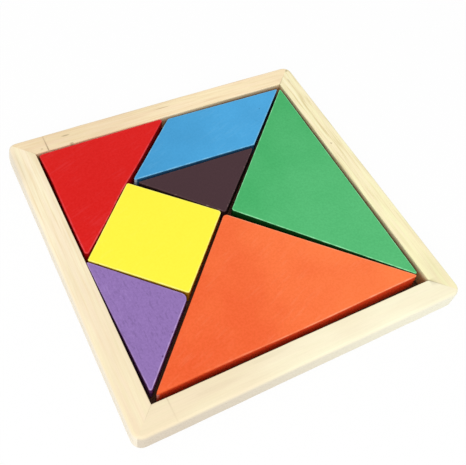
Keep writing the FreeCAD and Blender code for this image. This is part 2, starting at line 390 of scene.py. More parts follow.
@dataclass(frozen=True)
class PaintFinish:
    """Matt paint on wood, rubbed paler along the arrises, with painted highlight, shade and sheen.

    Attributes:
        name: what the material and its slot are called.
        colour: the paint's colour at the start of its drift.
        sheen_colour: the colour that it drifts to, paler with a painted sheen.
        rubbed: the colour of its arrises, rubbed paler and with a painted highlight.
        side: the colour of the sawn sides, deeper than the paint above: painted shade of the narrow gaps
            between the pieces.
        mottle: how strongly the fine mottling shows.
        brushed: how strongly the brush's long pale strokes show.
        pores: how strongly the wood's short pores show through it.
        gloss: the strength of its gloss.
        turn: the direction of the strokes and the pores, in degrees.
        drift: the direction in which its colour drifts, in degrees from +X.
        rub_sheen_grain: how fine the breaks in the rubbed, highlighted arrises are, in cells a metre.
        rub_sheen_range: the noise at which a break ends and at which the arris is fully rubbed and
            highlighted.
        rub_sheen_least: how much an arris is rubbed and highlighted in a break.
        dents: its dents, each a dark spot of painted shade.
        cloud_grain: how fine the clouds in its colour are, in cells a metre, as are the next four.
        patch_grain: how fine the patches are in which strokes and pale pores show.
        stroke_grain: how fine the brush's strokes are.
        grit_grain: how fine the mottling is.
        pore_grain: how fine the pores are.
        relief: how deep its unevenness is, in millimetres.
    """

    name: str
    colour: Colour
    sheen_colour: Colour
    rubbed: Colour
    side: Colour
    mottle: float = 0.2
    brushed: float = 0.1
    pores: float = 0.0
    gloss: float = 0.12
    turn: float = 20.0
    drift: float = 0.0
    rub_sheen_grain: float = 420.0
    rub_sheen_range: tuple[float, float] = (0.35, 0.6)
    rub_sheen_least: float = 0.35
    dents: tuple[Dent, ...] = ()
    cloud_grain: float = 55.0
    patch_grain: float = 90.0
    stroke_grain: float = 1100.0
    grit_grain: float = 1300.0
    pore_grain: float = 1500.0
    relief: float = 0.012

    def material(self, half: float) -> bpy.types.Material:
        """Makes the paint: a painted sheen across the puzzle, mottling, strokes, pores, sides in painted
        shade, and rubbed arrises with a painted highlight.

        Args:
            half: half the width that the drift takes, in millimetres.

        Returns:
            The material.
        """
        sheet = NodeSheet(self.name)
        here = sheet.place()
        body = self.coat_with_sheen(sheet, here, half)
        dark = sheet.shift(body, 0.78, 1.0)
        light = sheet.shift(body, 1.16, 0.95)
        grit = sheet.noise(here, self.grit_grain, 4.0, 0.62)
        mottled = sheet.mix(sheet.between(grit, 0.38, 0.62), dark, light)
        painted = sheet.mix(self.mottle, body, mottled)

        stroke_way = sheet.place(self.turn)
        stroke = sheet.noise(sheet.stretch(stroke_way, 0.12), self.stroke_grain, 3.0, 0.6)
        patchy = sheet.between(sheet.noise(here, self.patch_grain, 2.0), 0.4, 0.65)
        strokes = sheet.product(sheet.product(sheet.between(stroke, 0.5, 0.68), patchy), self.brushed)
        brushed = sheet.mix(strokes, painted, self.rubbed)
        pore = sheet.noise(sheet.stretch(stroke_way, 0.3), self.pore_grain, 3.0, 0.6)
        dark_pores = sheet.product(sheet.between(pore, 0.46, 0.33), self.pores)
        pale_pores = sheet.product(sheet.product(sheet.between(pore, 0.54, 0.68), patchy), self.pores)
        pored = sheet.mix(pale_pores, sheet.mix(dark_pores, brushed, dark), light)

        # Painted shade: the sides take the side colour, deeper than the paint above.
        sawn = sheet.mix(sheet.between(grit, 0.35, 0.65), self.side, sheet.shift(self.side, 0.8, 1.0))
        side_shaded = sheet.mix(sheet.mark("side"), self.dent_shaded(sheet, pored), sawn)
        roughness = sheet.between(grit, 0.3, 0.7, 0.42, 0.54)
        height = sheet.sum(sheet.product(grit, 0.6), sheet.product(stroke, 0.5))
        sheet.shade(self.rubbed_and_highlit(sheet, here, side_shaded), roughness, self.gloss, height, self.relief)
        return sheet.material

    def coat_with_sheen(self, sheet: NodeSheet, here: bpy.types.NodeSocket, half: float) -> bpy.types.NodeSocket:
        """The paint's colour with a painted sheen: it drifts from one side of the puzzle to the other.

        Args:
            sheet: the material that is laid out.
            here: the place on the piece.
            half: half the width that the drift takes, in millimetres.

        Returns:
            The colour socket.
        """
        across = sheet.add("ShaderNodeSeparateXYZ", {0: sheet.place(self.drift)}).outputs[0]
        # Painted sheen: across the puzzle the paint drifts towards its sheen colour.
        slope = sheet.between(across, -half * MM, half * MM, 0.0, 0.7)
        cloud = sheet.between(sheet.noise(here, self.cloud_grain, 3.0), 0.3, 0.7, 0.0, 0.3)
        return sheet.mix(sheet.sum(slope, cloud), self.colour, self.sheen_colour)

    def dent_shaded(self, sheet: NodeSheet, colour: bpy.types.NodeSocket) -> bpy.types.NodeSocket:
        """Adds the dents to a colour, each a dark spot of painted shade whose strength falls off at its
        edge.

        Args:
            sheet: the material that is laid out.
            colour: the paint's colour.

        Returns:
            The colour socket.
        """
        for dent in self.dents:
            away = sheet.length(sheet.stretch(sheet.place(centre=(dent.x, dent.y, 0.0)), 1.0, z=0.0))
            radius = dent.radius * MM
            shown = sheet.between(away, radius * 1.4, radius * 0.5, 0.0, dent.strength)
            # Painted shade: a dark spot stands for the dent's hollow.
            colour = sheet.mix(shown, colour, sheet.shift(self.side, 0.6, 1.0))
        return colour

    def rubbed_and_highlit(
        self, sheet: NodeSheet, here: bpy.types.NodeSocket, colour: bpy.types.NodeSocket
    ) -> bpy.types.NodeSocket:
        """Rubs arrises paler with a painted highlight, with breaks, and bare where the piece says so.

        Args:
            sheet: the material that is laid out.
            here: the place on the piece.
            colour: the paint's colour.

        Returns:
            The colour socket.
        """
        broken = sheet.between(sheet.noise(here, self.rub_sheen_grain, 3.0), *self.rub_sheen_range, self.rub_sheen_least, 1.0)
        # Painted highlight, with wear: the arris is paler along its rim, and upright corners rubbed bare are
        # paler still.
        highlit_edge = sheet.mix(sheet.product(sheet.mark("rim"), broken), colour, self.rubbed)
        return sheet.mix(sheet.mark("bare"), highlit_edge, sheet.shift(self.rubbed, 1.12, 0.45))


@dataclass(frozen=True)
class Fleck:
    """A brown mark in the upper face of a rail: small and dark, or broad and faint.

    Attributes:
        along: where it is along the rail, before the rail is turned to its side, in millimetres.
        out: how far it is from the tray's middle, in millimetres.
        length: its half length along the rail, in millimetres.
        width: its half width, in millimetres.
        strength: how strongly it shows.
    """

    along: float
    out: float
    length: float
    width: float
    strength: float


@dataclass(frozen=True)
class PineFinish:
    """Bare sanded pine, cut from one place in a log.

    Attributes:
        name: what the material is called.
        turn: the direction of the rail, in degrees.
        near: the colour of the wide soft part of a ring, at the rail's start.
        far: the colour that it drifts to at the rail's stop. On the front rail this drift is painted light.
        band: the colour of the narrow hard part of a ring.
        sawn: the colours of the outer side, at the rail's start and at its stop. The front rail's pair is
            painted light, paler at its stop.
        inside: the colour of the inner side low down: painted shade of the deep gap between the rails and
            the tans.
        pitch: the width of a ring, in millimetres.
        pith: where the middle of the log lies, outwards and up from the rail's middle, in millimetres.
        taper: how far the rings draw in over the length of the rail, in millimetres.
        wander: how far the rings wander, in millimetres.
        line: where in a ring its hard part begins, as a share of the ring.
        contrast: how strongly the rings show.
        streaks: how strongly the fine streaks between them show.
        rise: how much of the rings and streaks is left at the rail's start and at its stop.
        hues: how far its hue drifts either way in long patches, as a share of the colour circle.
        log: which part of the log the rail is from, in millimetres along it.
        flecks: its brown marks.
        glue: the colour of a glued joint.
        mark: the colour of a brown mark.
        cloud_grain: how fine the clouds in its colour are, in cells a metre, as are the next five.
        waver_grain: how fine the wandering of the rings is.
        ring_grain: how fine the patches are in which the rings show more or less.
        hue_grain: how fine the patches of other hues are.
        streak_grain: how fine the streaks are.
        fibre_grain: how fine the fibres are.
        relief: how deep its unevenness is, in millimetres.
    """

    name: str
    turn: float
    near: Colour
    far: Colour
    band: Colour
    sawn: tuple[Colour, Colour]
    inside: Colour = screen(176, 130, 86)
    pitch: float = 2.0
    pith: tuple[float, float] = (30.0, 12.0)
    taper: float = 2.0
    wander: float = 2.0
    line: float = 0.2
    contrast: float = 0.5
    streaks: float = 0.3
    rise: tuple[float, float] = (1.0, 1.0)
    hues: float = 0.015
    log: float = 0.0
    flecks: tuple[Fleck, ...] = ()
    glue: Colour = screen(120, 92, 62)
    mark: Colour = screen(120, 88, 56)
    cloud_grain: float = 90.0
    waver_grain: float = 150.0
    ring_grain: float = 330.0
    hue_grain: float = 600.0
    streak_grain: float = 1300.0
    fibre_grain: float = 3400.0
    relief: float = 0.025

    def material(self, middle: tuple[float, float], height: float, length: float) -> bpy.types.Material:
        """Makes the wood: rings round the pith, cut lengthwise, with streaks and fibres along them.

        Args:
            middle: the middle of the rail's section, outwards and up, in millimetres.
            height: the height of the rail, in millimetres.
            length: the length of the rail, in millimetres.

        Returns:
            The material.
        """
        sheet = NodeSheet(self.name)
        outwards, up = middle[0] + self.pith[0], middle[1] + self.pith[1]
        here = sheet.place(self.turn, (-self.log, -outwards, up))
        along = sheet.add("ShaderNodeSeparateXYZ", {0: here}).outputs[0]
        start = (self.log - length / 2) * MM
        span = (start, start + length * MM)
        body = self.ground(sheet, here, along, span)
        rise = sheet.between(along, *span, *self.rise)
        hard = self.hard_rings(sheet, here, length)
        unequal = sheet.noise(sheet.stretch(here, 0.1), self.ring_grain, 2.0)
        shown = sheet.product(sheet.between(unequal, 0.3, 0.7, 0.15, 1.0), self.contrast)
        ringed = sheet.mix(sheet.product(sheet.product(hard, shown), rise), body, self.band)

        streak = sheet.noise(sheet.stretch(here, 0.05), self.streak_grain, 2.0, 0.55)
        dark = sheet.product(sheet.between(streak, 0.48, 0.7, 0.0, self.streaks), rise)
        pale = sheet.product(sheet.between(streak, 0.5, 0.3, 0.0, self.streaks), rise)
        lit = sheet.mix(pale, sheet.mix(dark, ringed, self.band), sheet.shift(body, 1.04, 0.85))
        fibre = sheet.noise(sheet.stretch(here, 0.035), self.fibre_grain, 3.0, 0.6)
        grained = sheet.mix(sheet.between(fibre, 0.36, 0.6, 0.3, 0.0), lit, sheet.shift(lit, 0.9, 1.0))

        # The outer side's colour drifts along the rail; on the front rail that drift is painted light.
        sawn = sheet.mix(sheet.between(along, *span), *self.sawn)
        outside = sheet.mix(sheet.mark("outer_side"), grained, sawn)
        # Painted shade: the inner side darkens downwards, towards the inside colour.
        side_shaded = sheet.mix(sheet.mark("inner_shade"), outside, self.inside)
        stained = sheet.mix(sheet.mark("joint"), self.flecked(sheet, side_shaded, height), self.glue)
        roughness = sheet.between(fibre, 0.3, 0.7, 0.62, 0.5)
        relief = sheet.sum(sheet.product(fibre, 0.7), sheet.product(hard, 0.3))
        sheet.shade(stained, roughness, 0.2, relief, self.relief)
        return sheet.material

    def ground(
        self, sheet: NodeSheet, here: bpy.types.NodeSocket, along: bpy.types.NodeSocket,
        span: tuple[float, float],
    ) -> bpy.types.NodeSocket:
        """The ground colour, which drifts from one end of the rail to the other, with clouds in it.

        Args:
            sheet: the material that is laid out.
            here: the place in the log.
            along: the place along the log, in metres.
            span: where along the log the rail starts and stops, in metres.

        Returns:
            The colour socket.
        """
        # On the front rail this drift is painted light, paler towards its stop.
        slope = sheet.between(along, *span, 0.0, 0.8)
        cloud = sheet.noise(sheet.stretch(here, 0.25), self.cloud_grain, 2.0)
        amount = sheet.sum(slope, sheet.between(cloud, 0.3, 0.7, -0.25, 0.25))
        clipped = sheet.add("ShaderNodeClamp", {"Value": amount}).outputs[0]
        tone = sheet.noise(sheet.stretch(here, 0.1), self.hue_grain, 2.0)
        drift = sheet.between(tone, 0.3, 0.7, 0.5 - self.hues, 0.5 + self.hues)
        mixed = sheet.mix(clipped, self.near, self.far)
        return sheet.add("ShaderNodeHueSaturation", {"Color": mixed, "Hue": drift}).outputs[0]

    def hard_rings(
        self, sheet: NodeSheet, here: bpy.types.NodeSocket, length: float
    ) -> bpy.types.NodeSocket:
        """The hard parts of the rings: each rises slowly from the line on and falls off quickly.

        Args:
            sheet: the material that is laid out.
            here: the place in the log.
            length: the length of the rail, in millimetres.

        Returns:
            The value socket, 0 in a soft part and 1 in a hard part.
        """
        split = sheet.add("ShaderNodeSeparateXYZ", {0: here}).outputs
        across = sheet.add("ShaderNodeCombineXYZ", {1: split[1], 2: split[2]}).outputs[0]
        drawn = sheet.product(split[0], self.taper / length)
        waver = sheet.noise(sheet.stretch(here, 0.1), self.waver_grain, 3.0)
        wandering = sheet.product(waver, 2 * self.wander * MM)
        bent = sheet.sum(sheet.sum(sheet.length(across), drawn), wandering)
        rings = sheet.product(bent, 1 / (self.pitch * MM))
        share = sheet.add("ShaderNodeMath", {0: rings}, operation="FRACT").outputs[0]
        rising = sheet.between(share, self.line, 0.85)
        return sheet.product(rising, sheet.between(share, 0.86, 1.0, 1.0, 0.0))

    def flecked(
        self, sheet: NodeSheet, colour: bpy.types.NodeSocket, height: float
    ) -> bpy.types.NodeSocket:
        """Adds the flecks, each an ellipse whose strength falls off at its edge.

        Args:
            sheet: the material that is laid out.
            colour: the wood's colour.
            height: the height of the rail, in millimetres.

        Returns:
            The colour socket.
        """
        for fleck in self.flecks:
            offset = sheet.place(self.turn, (fleck.along, -fleck.out, height))
            radii = (fleck.length, fleck.width, height)
            away = sheet.length(sheet.stretch(offset, *(1 / (radius * MM) for radius in radii)))
            amount = sheet.between(away, 1.3, 0.4, 0.0, fleck.strength)
            colour = sheet.mix(amount, colour, self.mark)
        return colour


@dataclass(frozen=True)
class HardboardFinish:
    """Thin brown board, pressed from fibres.

    Attributes:
        name: what the material is called.
        colour: its colour.
        fleck: the colour of its paler fibres.
        fibre_grain: how fine its two layers of fibres are, in cells a metre.
        crossing: the angle at which the second layer crosses the first, in degrees.
        cloud_grain: how fine the clouds in its colour are, in cells a metre.
        relief: how deep its unevenness is, in millimetres.
    """

    name: str
    colour: Colour
    fleck: Colour
    fibre_grain: tuple[float, float] = (900.0, 1100.0)
    crossing: float = 57.0
    cloud_grain: float = 45.0
    relief: float = 0.06

    def material(self) -> bpy.types.Material:
        """Makes the board: short fibres that lie every way, over broad clouds.

        Returns:
            The material.
        """
        sheet = NodeSheet(self.name)
        here = sheet.place()
        first, second = (
            sheet.noise(sheet.stretch(way, 0.3), grain, 4.0, 0.65)
            for way, grain in zip((here, sheet.place(self.crossing)), self.fibre_grain)
        )
        fibres = sheet.between(sheet.product(sheet.sum(first, second), 0.5), 0.38, 0.66)
        cloud = sheet.between(sheet.noise(here, self.cloud_grain, 2.0), 0.3, 0.7, 0.0, 0.35)
        body = sheet.mix(cloud, self.colour, sheet.shift(self.colour, 0.8, 1.0))
        colour = sheet.mix(sheet.product(fibres, 0.6), body, self.fleck)
        sheet.shade(colour, 0.62, 0.3, fibres, self.relief)
        return sheet.material


# Tans


class Form(Enum):
    """The outline of a tan."""

    TRIANGLE = "triangle"
    SQUARE = "square"
    PARALLELOGRAM = "parallelogram"


class Leg(Enum):
    """The leg of a tan's cell, as a share of the tray's opening."""

    LARGE = math.sqrt(1 / 2)
    MEDIUM = 1 / 2
    SMALL = math.sqrt(1 / 8)

    @property
    def inradius(self) -> float:
        """The radius of the circle in a right-angled triangle with two such legs, as a like share."""
        return self.value * (1 - math.sqrt(1 / 2))


class Damage(Enum):
    """What has happened to an edge."""

    # BARE_SHEEN paints an upright corner paler: rubbed bare, with a painted highlight.
    BARE_SHEEN = "rubbed bare on its upright side"
    SOFT = "sanded rounder under its paint"
    LEAN = "sawn out of square, so that its foot stands out"
    HOLLOW = "sanded hollow over its whole height, or left full where its depth is negative"
    # KEPT_DULL also takes away the painted highlight along the arris.
    KEPT_DULL = "still painted, so that no rubbed arris shows"


@dataclass(frozen=True)
class Wear:
    """One worn place on the edge of a tan.

    Attributes:
        kind: what has happened there.
        edge: the edge's number, counted anticlockwise from the first corner.
        share: how far along the edge it is, as a share.
        reach: its half length, in millimetres.
        depth: its depth, in millimetres, or for kept paint and bare wood with a painted highlight, a share.
    """

    kind: Damage
    edge: int
    share: float
    reach: float
    depth: float


@dataclass(frozen=True)
class Outline:
    """A convex outline with rounded corners, which can be followed at any inset.

    Attributes:
        corners: (n, 2) corners, anticlockwise, in millimetres.
        radii: (n,) radii of the corners, in millimetres.
        spacing: the distance between points on a straight edge, in millimetres.
        arc_steps: how many steps a corner has.
        least_radius: the least radius that a corner keeps as it is inset, in millimetres.
    """

    corners: np.ndarray
    radii: np.ndarray
    spacing: float = 0.55
    arc_steps: int = 12
    least_radius: float = 0.06

    def outward(self) -> np.ndarray:
        """The directions that the edges face.

        Returns:
            (n, 2) outward unit normals.
        """
        along = np.roll(self.corners, -1, axis=0) - self.corners
        along /= np.linalg.norm(along, axis=1)[:, None]
        return np.stack([along[:, 1], -along[:, 0]], axis=1)

    def stations(self) -> dict[str, np.ndarray]:
        """Splits the outline into points, each held between two corners.

        Returns:
            For each point: "corner" and "next", the corners that it hangs between, "share", how far
            it is from the one to the other, "normal", its outward normal, "length", the distance to
            the point after it, and "place", its share of the whole way round.
        """
        normals = self.outward()
        count = len(self.corners)
        lists: dict[str, list[np.ndarray]] = {
            "corner": [], "next": [], "share": [], "normal": [], "length": []
        }
        for corner in range(count):
            before, after = normals[corner - 1], normals[corner]
            start = math.atan2(before[1], before[0])
            bend = (math.atan2(after[1], after[0]) - start) % FULL_TURN
            angles = start + bend * np.arange(self.arc_steps) / self.arc_steps
            arc = self.radii[corner] * bend / self.arc_steps
            following = (corner + 1) % count
            length = np.linalg.norm(self.corners[following] - self.corners[corner])
            steps = max(2, int(length / self.spacing))
            round_normals = np.stack([np.cos(angles), np.sin(angles)], axis=1)
            stretches = (
                (np.zeros(self.arc_steps), arc, round_normals),
                (np.arange(steps) / steps, length / steps, np.tile(after, (steps, 1))),
            )
            for share, step, normal in stretches:
                lists["corner"].append(np.full(share.size, corner))
                lists["next"].append(np.full(share.size, following))
                lists["share"].append(share)
                lists["normal"].append(normal)
                lists["length"].append(np.full(share.size, step))
        joined = {name: np.concatenate(parts) for name, parts in lists.items()}
        joined["place"] = np.cumsum(joined["length"]) / joined["length"].sum()
        return joined

    def follow(self, stations: dict[str, np.ndarray], inset: np.ndarray) -> np.ndarray:
        """The points of the outline at an inset.

        A corner's arc keeps its centre until its radius is used up, and past that its centre moves
        in along the bisector. A point on an edge lies between the ends of the arcs beside it.

        Args:
            stations: what stations() gives.
            inset: (rings, points) insets, in millimetres.

        Returns:
            (rings, points, 2) places, in millimetres.
        """
        normals = self.outward()
        before = np.roll(normals, 1, axis=0)
        bisector = -(before + normals) / (1 + (before * normals).sum(axis=1))[:, None]

        def arc_end(corner: np.ndarray, direction: np.ndarray) -> np.ndarray:
            """The point of a corner's arc that faces a direction: its centre plus its radius that way.

            Args:
                corner: (points,) numbers of corners.
                direction: (points, 2) unit vectors.

            Returns:
                (rings, points, 2) places, in millimetres.
            """
            radius = np.maximum(self.radii[corner] - inset, self.least_radius)
            centre = self.corners[corner] + (inset + radius)[..., None] * bisector[corner]
            return centre + radius[..., None] * direction

        here = arc_end(stations["corner"], stations["normal"])
        there = arc_end(stations["next"], stations["normal"])
        share = stations["share"][:, None]
        return here * (1 - share) + there * share


@dataclass(frozen=True)
class Rings:
    """The rings of a tan's skin, from near the middle of its underside to near that of its upper face.

    Attributes:
        insets: (rings, points) how far the rings lie inside the outline, in millimetres.
        heights: (rings, points) their heights, in millimetres.
        shrink: (rings, 1) how far each is drawn in towards the middle, from 0 to 1.
        upper: (rings, 1) whether it lies on the upper face, inside the arris.
        under: (rings, 1) whether it lies on the underside, inside the bevel.
        rounding: (points,) the radius of the arris, in millimetres.
        arris: (points,) the height at which the arris begins, in millimetres.
    """

    insets: np.ndarray
    heights: np.ndarray
    shrink: np.ndarray
    upper: np.ndarray
    under: np.ndarray
    rounding: np.ndarray
    arris: np.ndarray


@dataclass(frozen=True)
class Section:
    """The section of a tan's rim, and how finely its skin is divided. Sizes are in millimetres.

    Attributes:
        bevel: the width of the bevel round its foot.
        under: the rings on its underside, as shares of the way out from the middle.
        bevel_steps: how many steps the bevel has.
        side_steps: how many steps its side has.
        below: the rings close under the arris, by how far they are below it.
        arris_steps: how many steps the round of the arris has.
        flat: the rings on its upper face next to the arris, by how far they are inside it.
        face_rings: how many rings the rest of its upper face has.
        face_end: how far in the last of them lies, as a share of the way to the middle.
    """

    bevel: float = 0.3
    under: tuple[float, ...] = (0.3, 0.7, 1.0)
    bevel_steps: int = 2
    side_steps: int = 4
    below: tuple[float, ...] = (0.7, 0.3, 0.16, 0.08, 0.03)
    arris_steps: int = 8
    flat: tuple[float, ...] = (0.12, 0.35, 0.8)
    face_rings: int = 14
    face_end: float = 0.96

    def rings(self, rounding: np.ndarray, bottom: float, top: float) -> Rings:
        """Lays the rings out over the underside, round the bevel, up the side, round the upper
        arris, which is a quarter circle, and in over the upper face.

        Args:
            rounding: (points,) the radius of the arris.
            bottom: the height of the underside.
            top: the height of the upper face.

        Returns:
            The rings.
        """
        ones = np.ones(rounding.size)
        out = np.array(self.under)
        rise = np.linspace(0.0, 1.0, self.bevel_steps + 1)[1:]
        side = np.linspace(0.0, 1.0, self.side_steps + 1)[1:-1]
        quarter = np.linspace(0.0, 1.0, self.arris_steps + 1) * math.pi / 2
        inwards = np.linspace(0.0, self.face_end, self.face_rings + 1)[1:]
        insets = np.concatenate([
            np.outer(np.full(out.size, self.bevel), ones),
            np.outer((1 - rise) * self.bevel, ones),
            np.zeros((side.size + len(self.below), ones.size)),
            np.outer(1 - np.cos(quarter), rounding),
            np.array(self.flat)[:, None] + rounding,
            np.outer(np.ones(inwards.size), rounding + self.flat[-1]),
        ])
        low, arris = bottom + self.bevel, top - rounding
        heights = np.concatenate([
            np.full((out.size, ones.size), bottom),
            bottom + np.outer(rise * self.bevel, ones),
            low + np.outer(side, arris - low),
            arris - np.outer(self.below, ones),
            arris + np.outer(np.sin(quarter), rounding),
            np.full((len(self.flat) + inwards.size, ones.size), top),
        ])
        order = np.arange(len(insets))[:, None]
        shrink = np.zeros(order.shape)
        shrink[:out.size, 0] = 1 - out
        shrink[-inwards.size:, 0] = inwards
        upper = order >= len(order) - inwards.size - len(self.flat)
        return Rings(insets, heights, shrink, upper, order < out.size - 1, rounding, arris)


def closed_skin(rings: np.ndarray, middle: np.ndarray, marks: dict[str, np.ndarray]) -> Surface:
    """A skin of rings, closed at both ends by a fan of triangles.

    Args:
        rings: (rings, points, 3) points, anticlockwise from above and from the bottom up.
        middle: the place of both fans' middles from above.
        marks: what is painted on the rings. The middles have none of it.

    Returns:
        The surface.
    """
    count = rings.shape[1]
    tips = [[*middle, rings[0, 0, 2]], [*middle, rings[-1, :, 2].mean()]]
    points = np.concatenate([rings.reshape(-1, 3), tips])
    first = np.arange(count)
    after = (first + 1) % count
    last = (len(rings) - 1) * count
    lower_fan = np.stack([np.full(count, len(points) - 2), after, first], axis=1)
    upper_fan = np.stack([np.full(count, len(points) - 1), last + first, last + after], axis=1)
    faces = grid_faces(len(rings), count, closed=True).tolist() + lower_fan.tolist() + upper_fan.tolist()
    padded = {mark: np.append(amounts.ravel(), np.zeros(len(tips))) for mark, amounts in marks.items()}
    return Surface(points, faces, padded)


@dataclass(frozen=True)
class Tan:
    """One tan: the cell of the dissection that it is cut for, and how it lies and is worn.

    Attributes:
        name: the node that it stands for.
        form: its outline.
        leg: the leg of its cell.
        home: the incentre of its cell, as shares of the opening.
        turn: how its cell is turned, in degrees.
        trim: how much is cut off all round, as a share of the play.
        shift: how far it has slid, as shares of the play.
        tip_travel: how far a point one leg away has travelled as it turned, as a share of the play.
        radii: the radii of its corners, in millimetres.
        strays: how far each corner strays from its form, as the saw left it, in millimetres.
        paint: its finish.
        seed: picks its unevenness.
        wear: its worn places, some of which add or take away painted highlight.
        play: the play of the tans in the tray, in millimetres, as are the sizes below.
        section: the section of its rim.
        edge_round: the radius of its upper arris where it isn't worn.
        waviness: how far its side wavers inwards.
        relief: how strongly its upper face swells.
        swell_lengths: the shortest and the longest wavelength of the swell.
        swell_drop: how far the middle of the swell lies below the flat face, in swells.
        side_shade_blend: how far below the arris the painted shade of the side is full.
        rub_sheen_in: how far the rubbed paint and its painted highlight reach in over the upper face.
        rub_sheen_down: how far the rubbed paint and its painted highlight reach down the side.
        round_change: how much the arris's radius changes along it, as a share.
        rub_sheen_change: how much the rubbing of the arris and its painted highlight change along it, as a
            share.
        round_waves: the fewest and the most waves of the arris's radius to the round of the outline.
        side_waves: the same of its side's waver.
        rub_sheen_waves: the same of the rubbing and its painted highlight.
    """

    name: str
    form: Form
    leg: Leg
    home: tuple[float, float]
    turn: float
    trim: float
    shift: tuple[float, float]
    tip_travel: float
    radii: tuple[float, ...]
    strays: tuple[tuple[float, float], ...]
    paint: PaintFinish
    seed: int
    wear: tuple[Wear, ...] = ()

    play: float = 2.0
    section: Section = Section()
    edge_round: float = 0.28
    waviness: float = 0.05
    relief: float = 0.012
    swell_lengths: tuple[float, float] = (5.0, 30.0)
    swell_drop: float = 1.6
    side_shade_blend: float = 0.3
    rub_sheen_in: float = 0.08
    rub_sheen_down: float = 0.10
    round_change: float = 0.22
    rub_sheen_change: float = 0.25
    round_waves: tuple[int, int] = (3, 60)
    side_waves: tuple[int, int] = (2, 40)
    rub_sheen_waves: tuple[int, int] = (4, 80)

    def cell(self, opening: float) -> np.ndarray:
        """The trimmed corners about the incentre, anticlockwise, in millimetres.

        A triangle has its right angle at the top, and a parallelogram leans towards +X.

        Args:
            opening: the side of the tray's opening, in millimetres.

        Returns:
            (n, 2) corners.
        """
        leg = self.leg.value * opening
        trim = self.trim * self.play
        if self.form is Form.TRIANGLE:
            trimmed = leg - (2 + math.sqrt(2)) * trim
            half = trimmed / math.sqrt(2)
            foot = trimmed * (1 - math.sqrt(1 / 2))
            return np.array([(0.0, trimmed * (math.sqrt(2) - 1)), (-half, -foot), (half, -foot)])
        if self.form is Form.SQUARE:
            half = leg / 2 - trim
            return np.array([(half, half), (-half, half), (-half, -half), (half, -half)])
        rise = leg / 4 - trim
        side = leg / 2 - math.sqrt(2) * trim
        return np.array([
            (side + rise, rise), (rise - side, rise), (-side - rise, -rise), (side - rise, -rise),
        ])

    def outline(self, opening: float) -> Outline:
        """The tan's outline where it lies.

        Args:
            opening: the side of the tray's opening, in millimetres.

        Returns:
            The outline.
        """
        travel = self.tip_travel * self.play / (self.leg.value * opening)
        angle = math.radians(self.turn) + travel
        turned = np.array([(math.cos(angle), math.sin(angle)), (-math.sin(angle), math.cos(angle))])
        middle = np.array(self.home) * opening + np.array(self.shift) * self.play
        corners = self.cell(opening) @ turned + middle + np.array(self.strays)
        return Outline(corners, np.array(self.radii))

    def worn(self, line: Outline, stations: dict[str, np.ndarray]) -> dict[Damage, np.ndarray]:
        """How deep each kind of damage is along the outline: a bell curve for each worn place.

        Args:
            line: the tan's outline.
            stations: the points of the outline.

        Returns:
            (points,) depths of each kind, in millimetres, or for kept paint and bare, highlighted wood,
            shares.
        """
        lengths = np.linalg.norm(np.roll(line.corners, -1, axis=0) - line.corners, axis=1)
        depths = {kind: np.zeros(stations["place"].size) for kind in Damage}
        for mark in self.wear:
            away = np.abs(stations["share"] - mark.share) * lengths[mark.edge]
            here = stations["corner"] == mark.edge
            depths[mark.kind] += np.where(here, bump(away, mark.reach), 0.0) * mark.depth
        return depths

    def surface(self, opening: float, bottom: float, top: float) -> Surface:
        """The tan's skin: its outline carried round its section.

        The outline wavers by a ripple and leans or is hollowed where it is worn, the arris is
        rounder where it is worn, and the upper face swells a little.

        Args:
            opening: the side of the tray's opening, in millimetres.
            bottom: the height of its underside, in millimetres.
            top: the height of its upper face, in millimetres.

        Returns:
            The surface.
        """
        line = self.outline(opening)
        stations = line.stations()
        place = stations["place"]
        worn = self.worn(line, stations)
        rounding = self.edge_round * (1 + self.round_change * ripple(place, self.seed, self.round_waves))
        rings = self.section.rings(rounding + worn[Damage.SOFT], bottom, top)
        waver = self.waviness * (ripple(place, self.seed + 1, self.side_waves) - 1) / 2
        up = np.clip((rings.heights - bottom) / (top - bottom), 0, 1)
        inwards = rings.insets - waver + worn[Damage.HOLLOW] - worn[Damage.LEAN] * (1 - up)
        middle = line.corners.mean(axis=0)
        shrink = rings.shrink[..., None]
        plan = line.follow(stations, inwards) * (1 - shrink) + middle * shrink
        swollen = swell(plan[..., 0], plan[..., 1], self.seed + 2, self.swell_lengths) - self.swell_drop
        heights = rings.heights + np.where(rings.upper, self.relief * swollen, 0.0)
        return closed_skin(np.dstack([plan, heights]), middle, self.marks(rings, heights, up, worn, place))

    def marks(
        self, rings: Rings, heights: np.ndarray, up: np.ndarray, worn: dict[Damage, np.ndarray],
        place: np.ndarray,
    ) -> dict[str, np.ndarray]:
        """What is painted on the tan.

        The "rim" is the rubbed arris with its painted highlight, a bell curve inwards times a bell curve
        downwards. The "side" is painted shade that grows evenly below the arris, and "bare" is the same
        where the side is rubbed bare, with a painted highlight.

        Args:
            rings: the rings of the skin.
            heights: (rings, points) their heights with the swell.
            up: (rings, points) their heights as shares of the tan's.
            worn: the depths of the damage.
            place: (points,) places along the outline, as shares of its length.

        Returns:
            (rings, points) amounts of each.
        """
        depth = np.maximum(rings.insets - rings.rounding, 0.0)
        drop = np.maximum(rings.arris - heights, 0.0)
        clear = heights > heights[0, 0] + self.section.bevel * 2
        # Painted highlight, with wear: the rim is paler paint along the arris.
        rim = bump(depth, self.rub_sheen_in) * bump(drop, self.rub_sheen_down) * clear
        change = ripple(place, self.seed + 3, self.rub_sheen_waves)
        rim = rim * (1 - self.rub_sheen_change + self.rub_sheen_change * change)
        rim = rim * (1 - np.clip(worn[Damage.KEPT_DULL], 0, 1)) * (rings.shrink == 0)
        # Painted shade: the side darkens below the arris.
        side = np.clip(drop / self.side_shade_blend, 0, 1)
        # Painted highlight: upright corners rubbed bare are paler down the side.
        bare = np.clip(worn[Damage.BARE_SHEEN], 0, 1) * side * np.clip(up * 1.5, 0, 1)
        return {"rim": rim, "bare": bare, "side": np.where(rings.under, 0.0, side)}


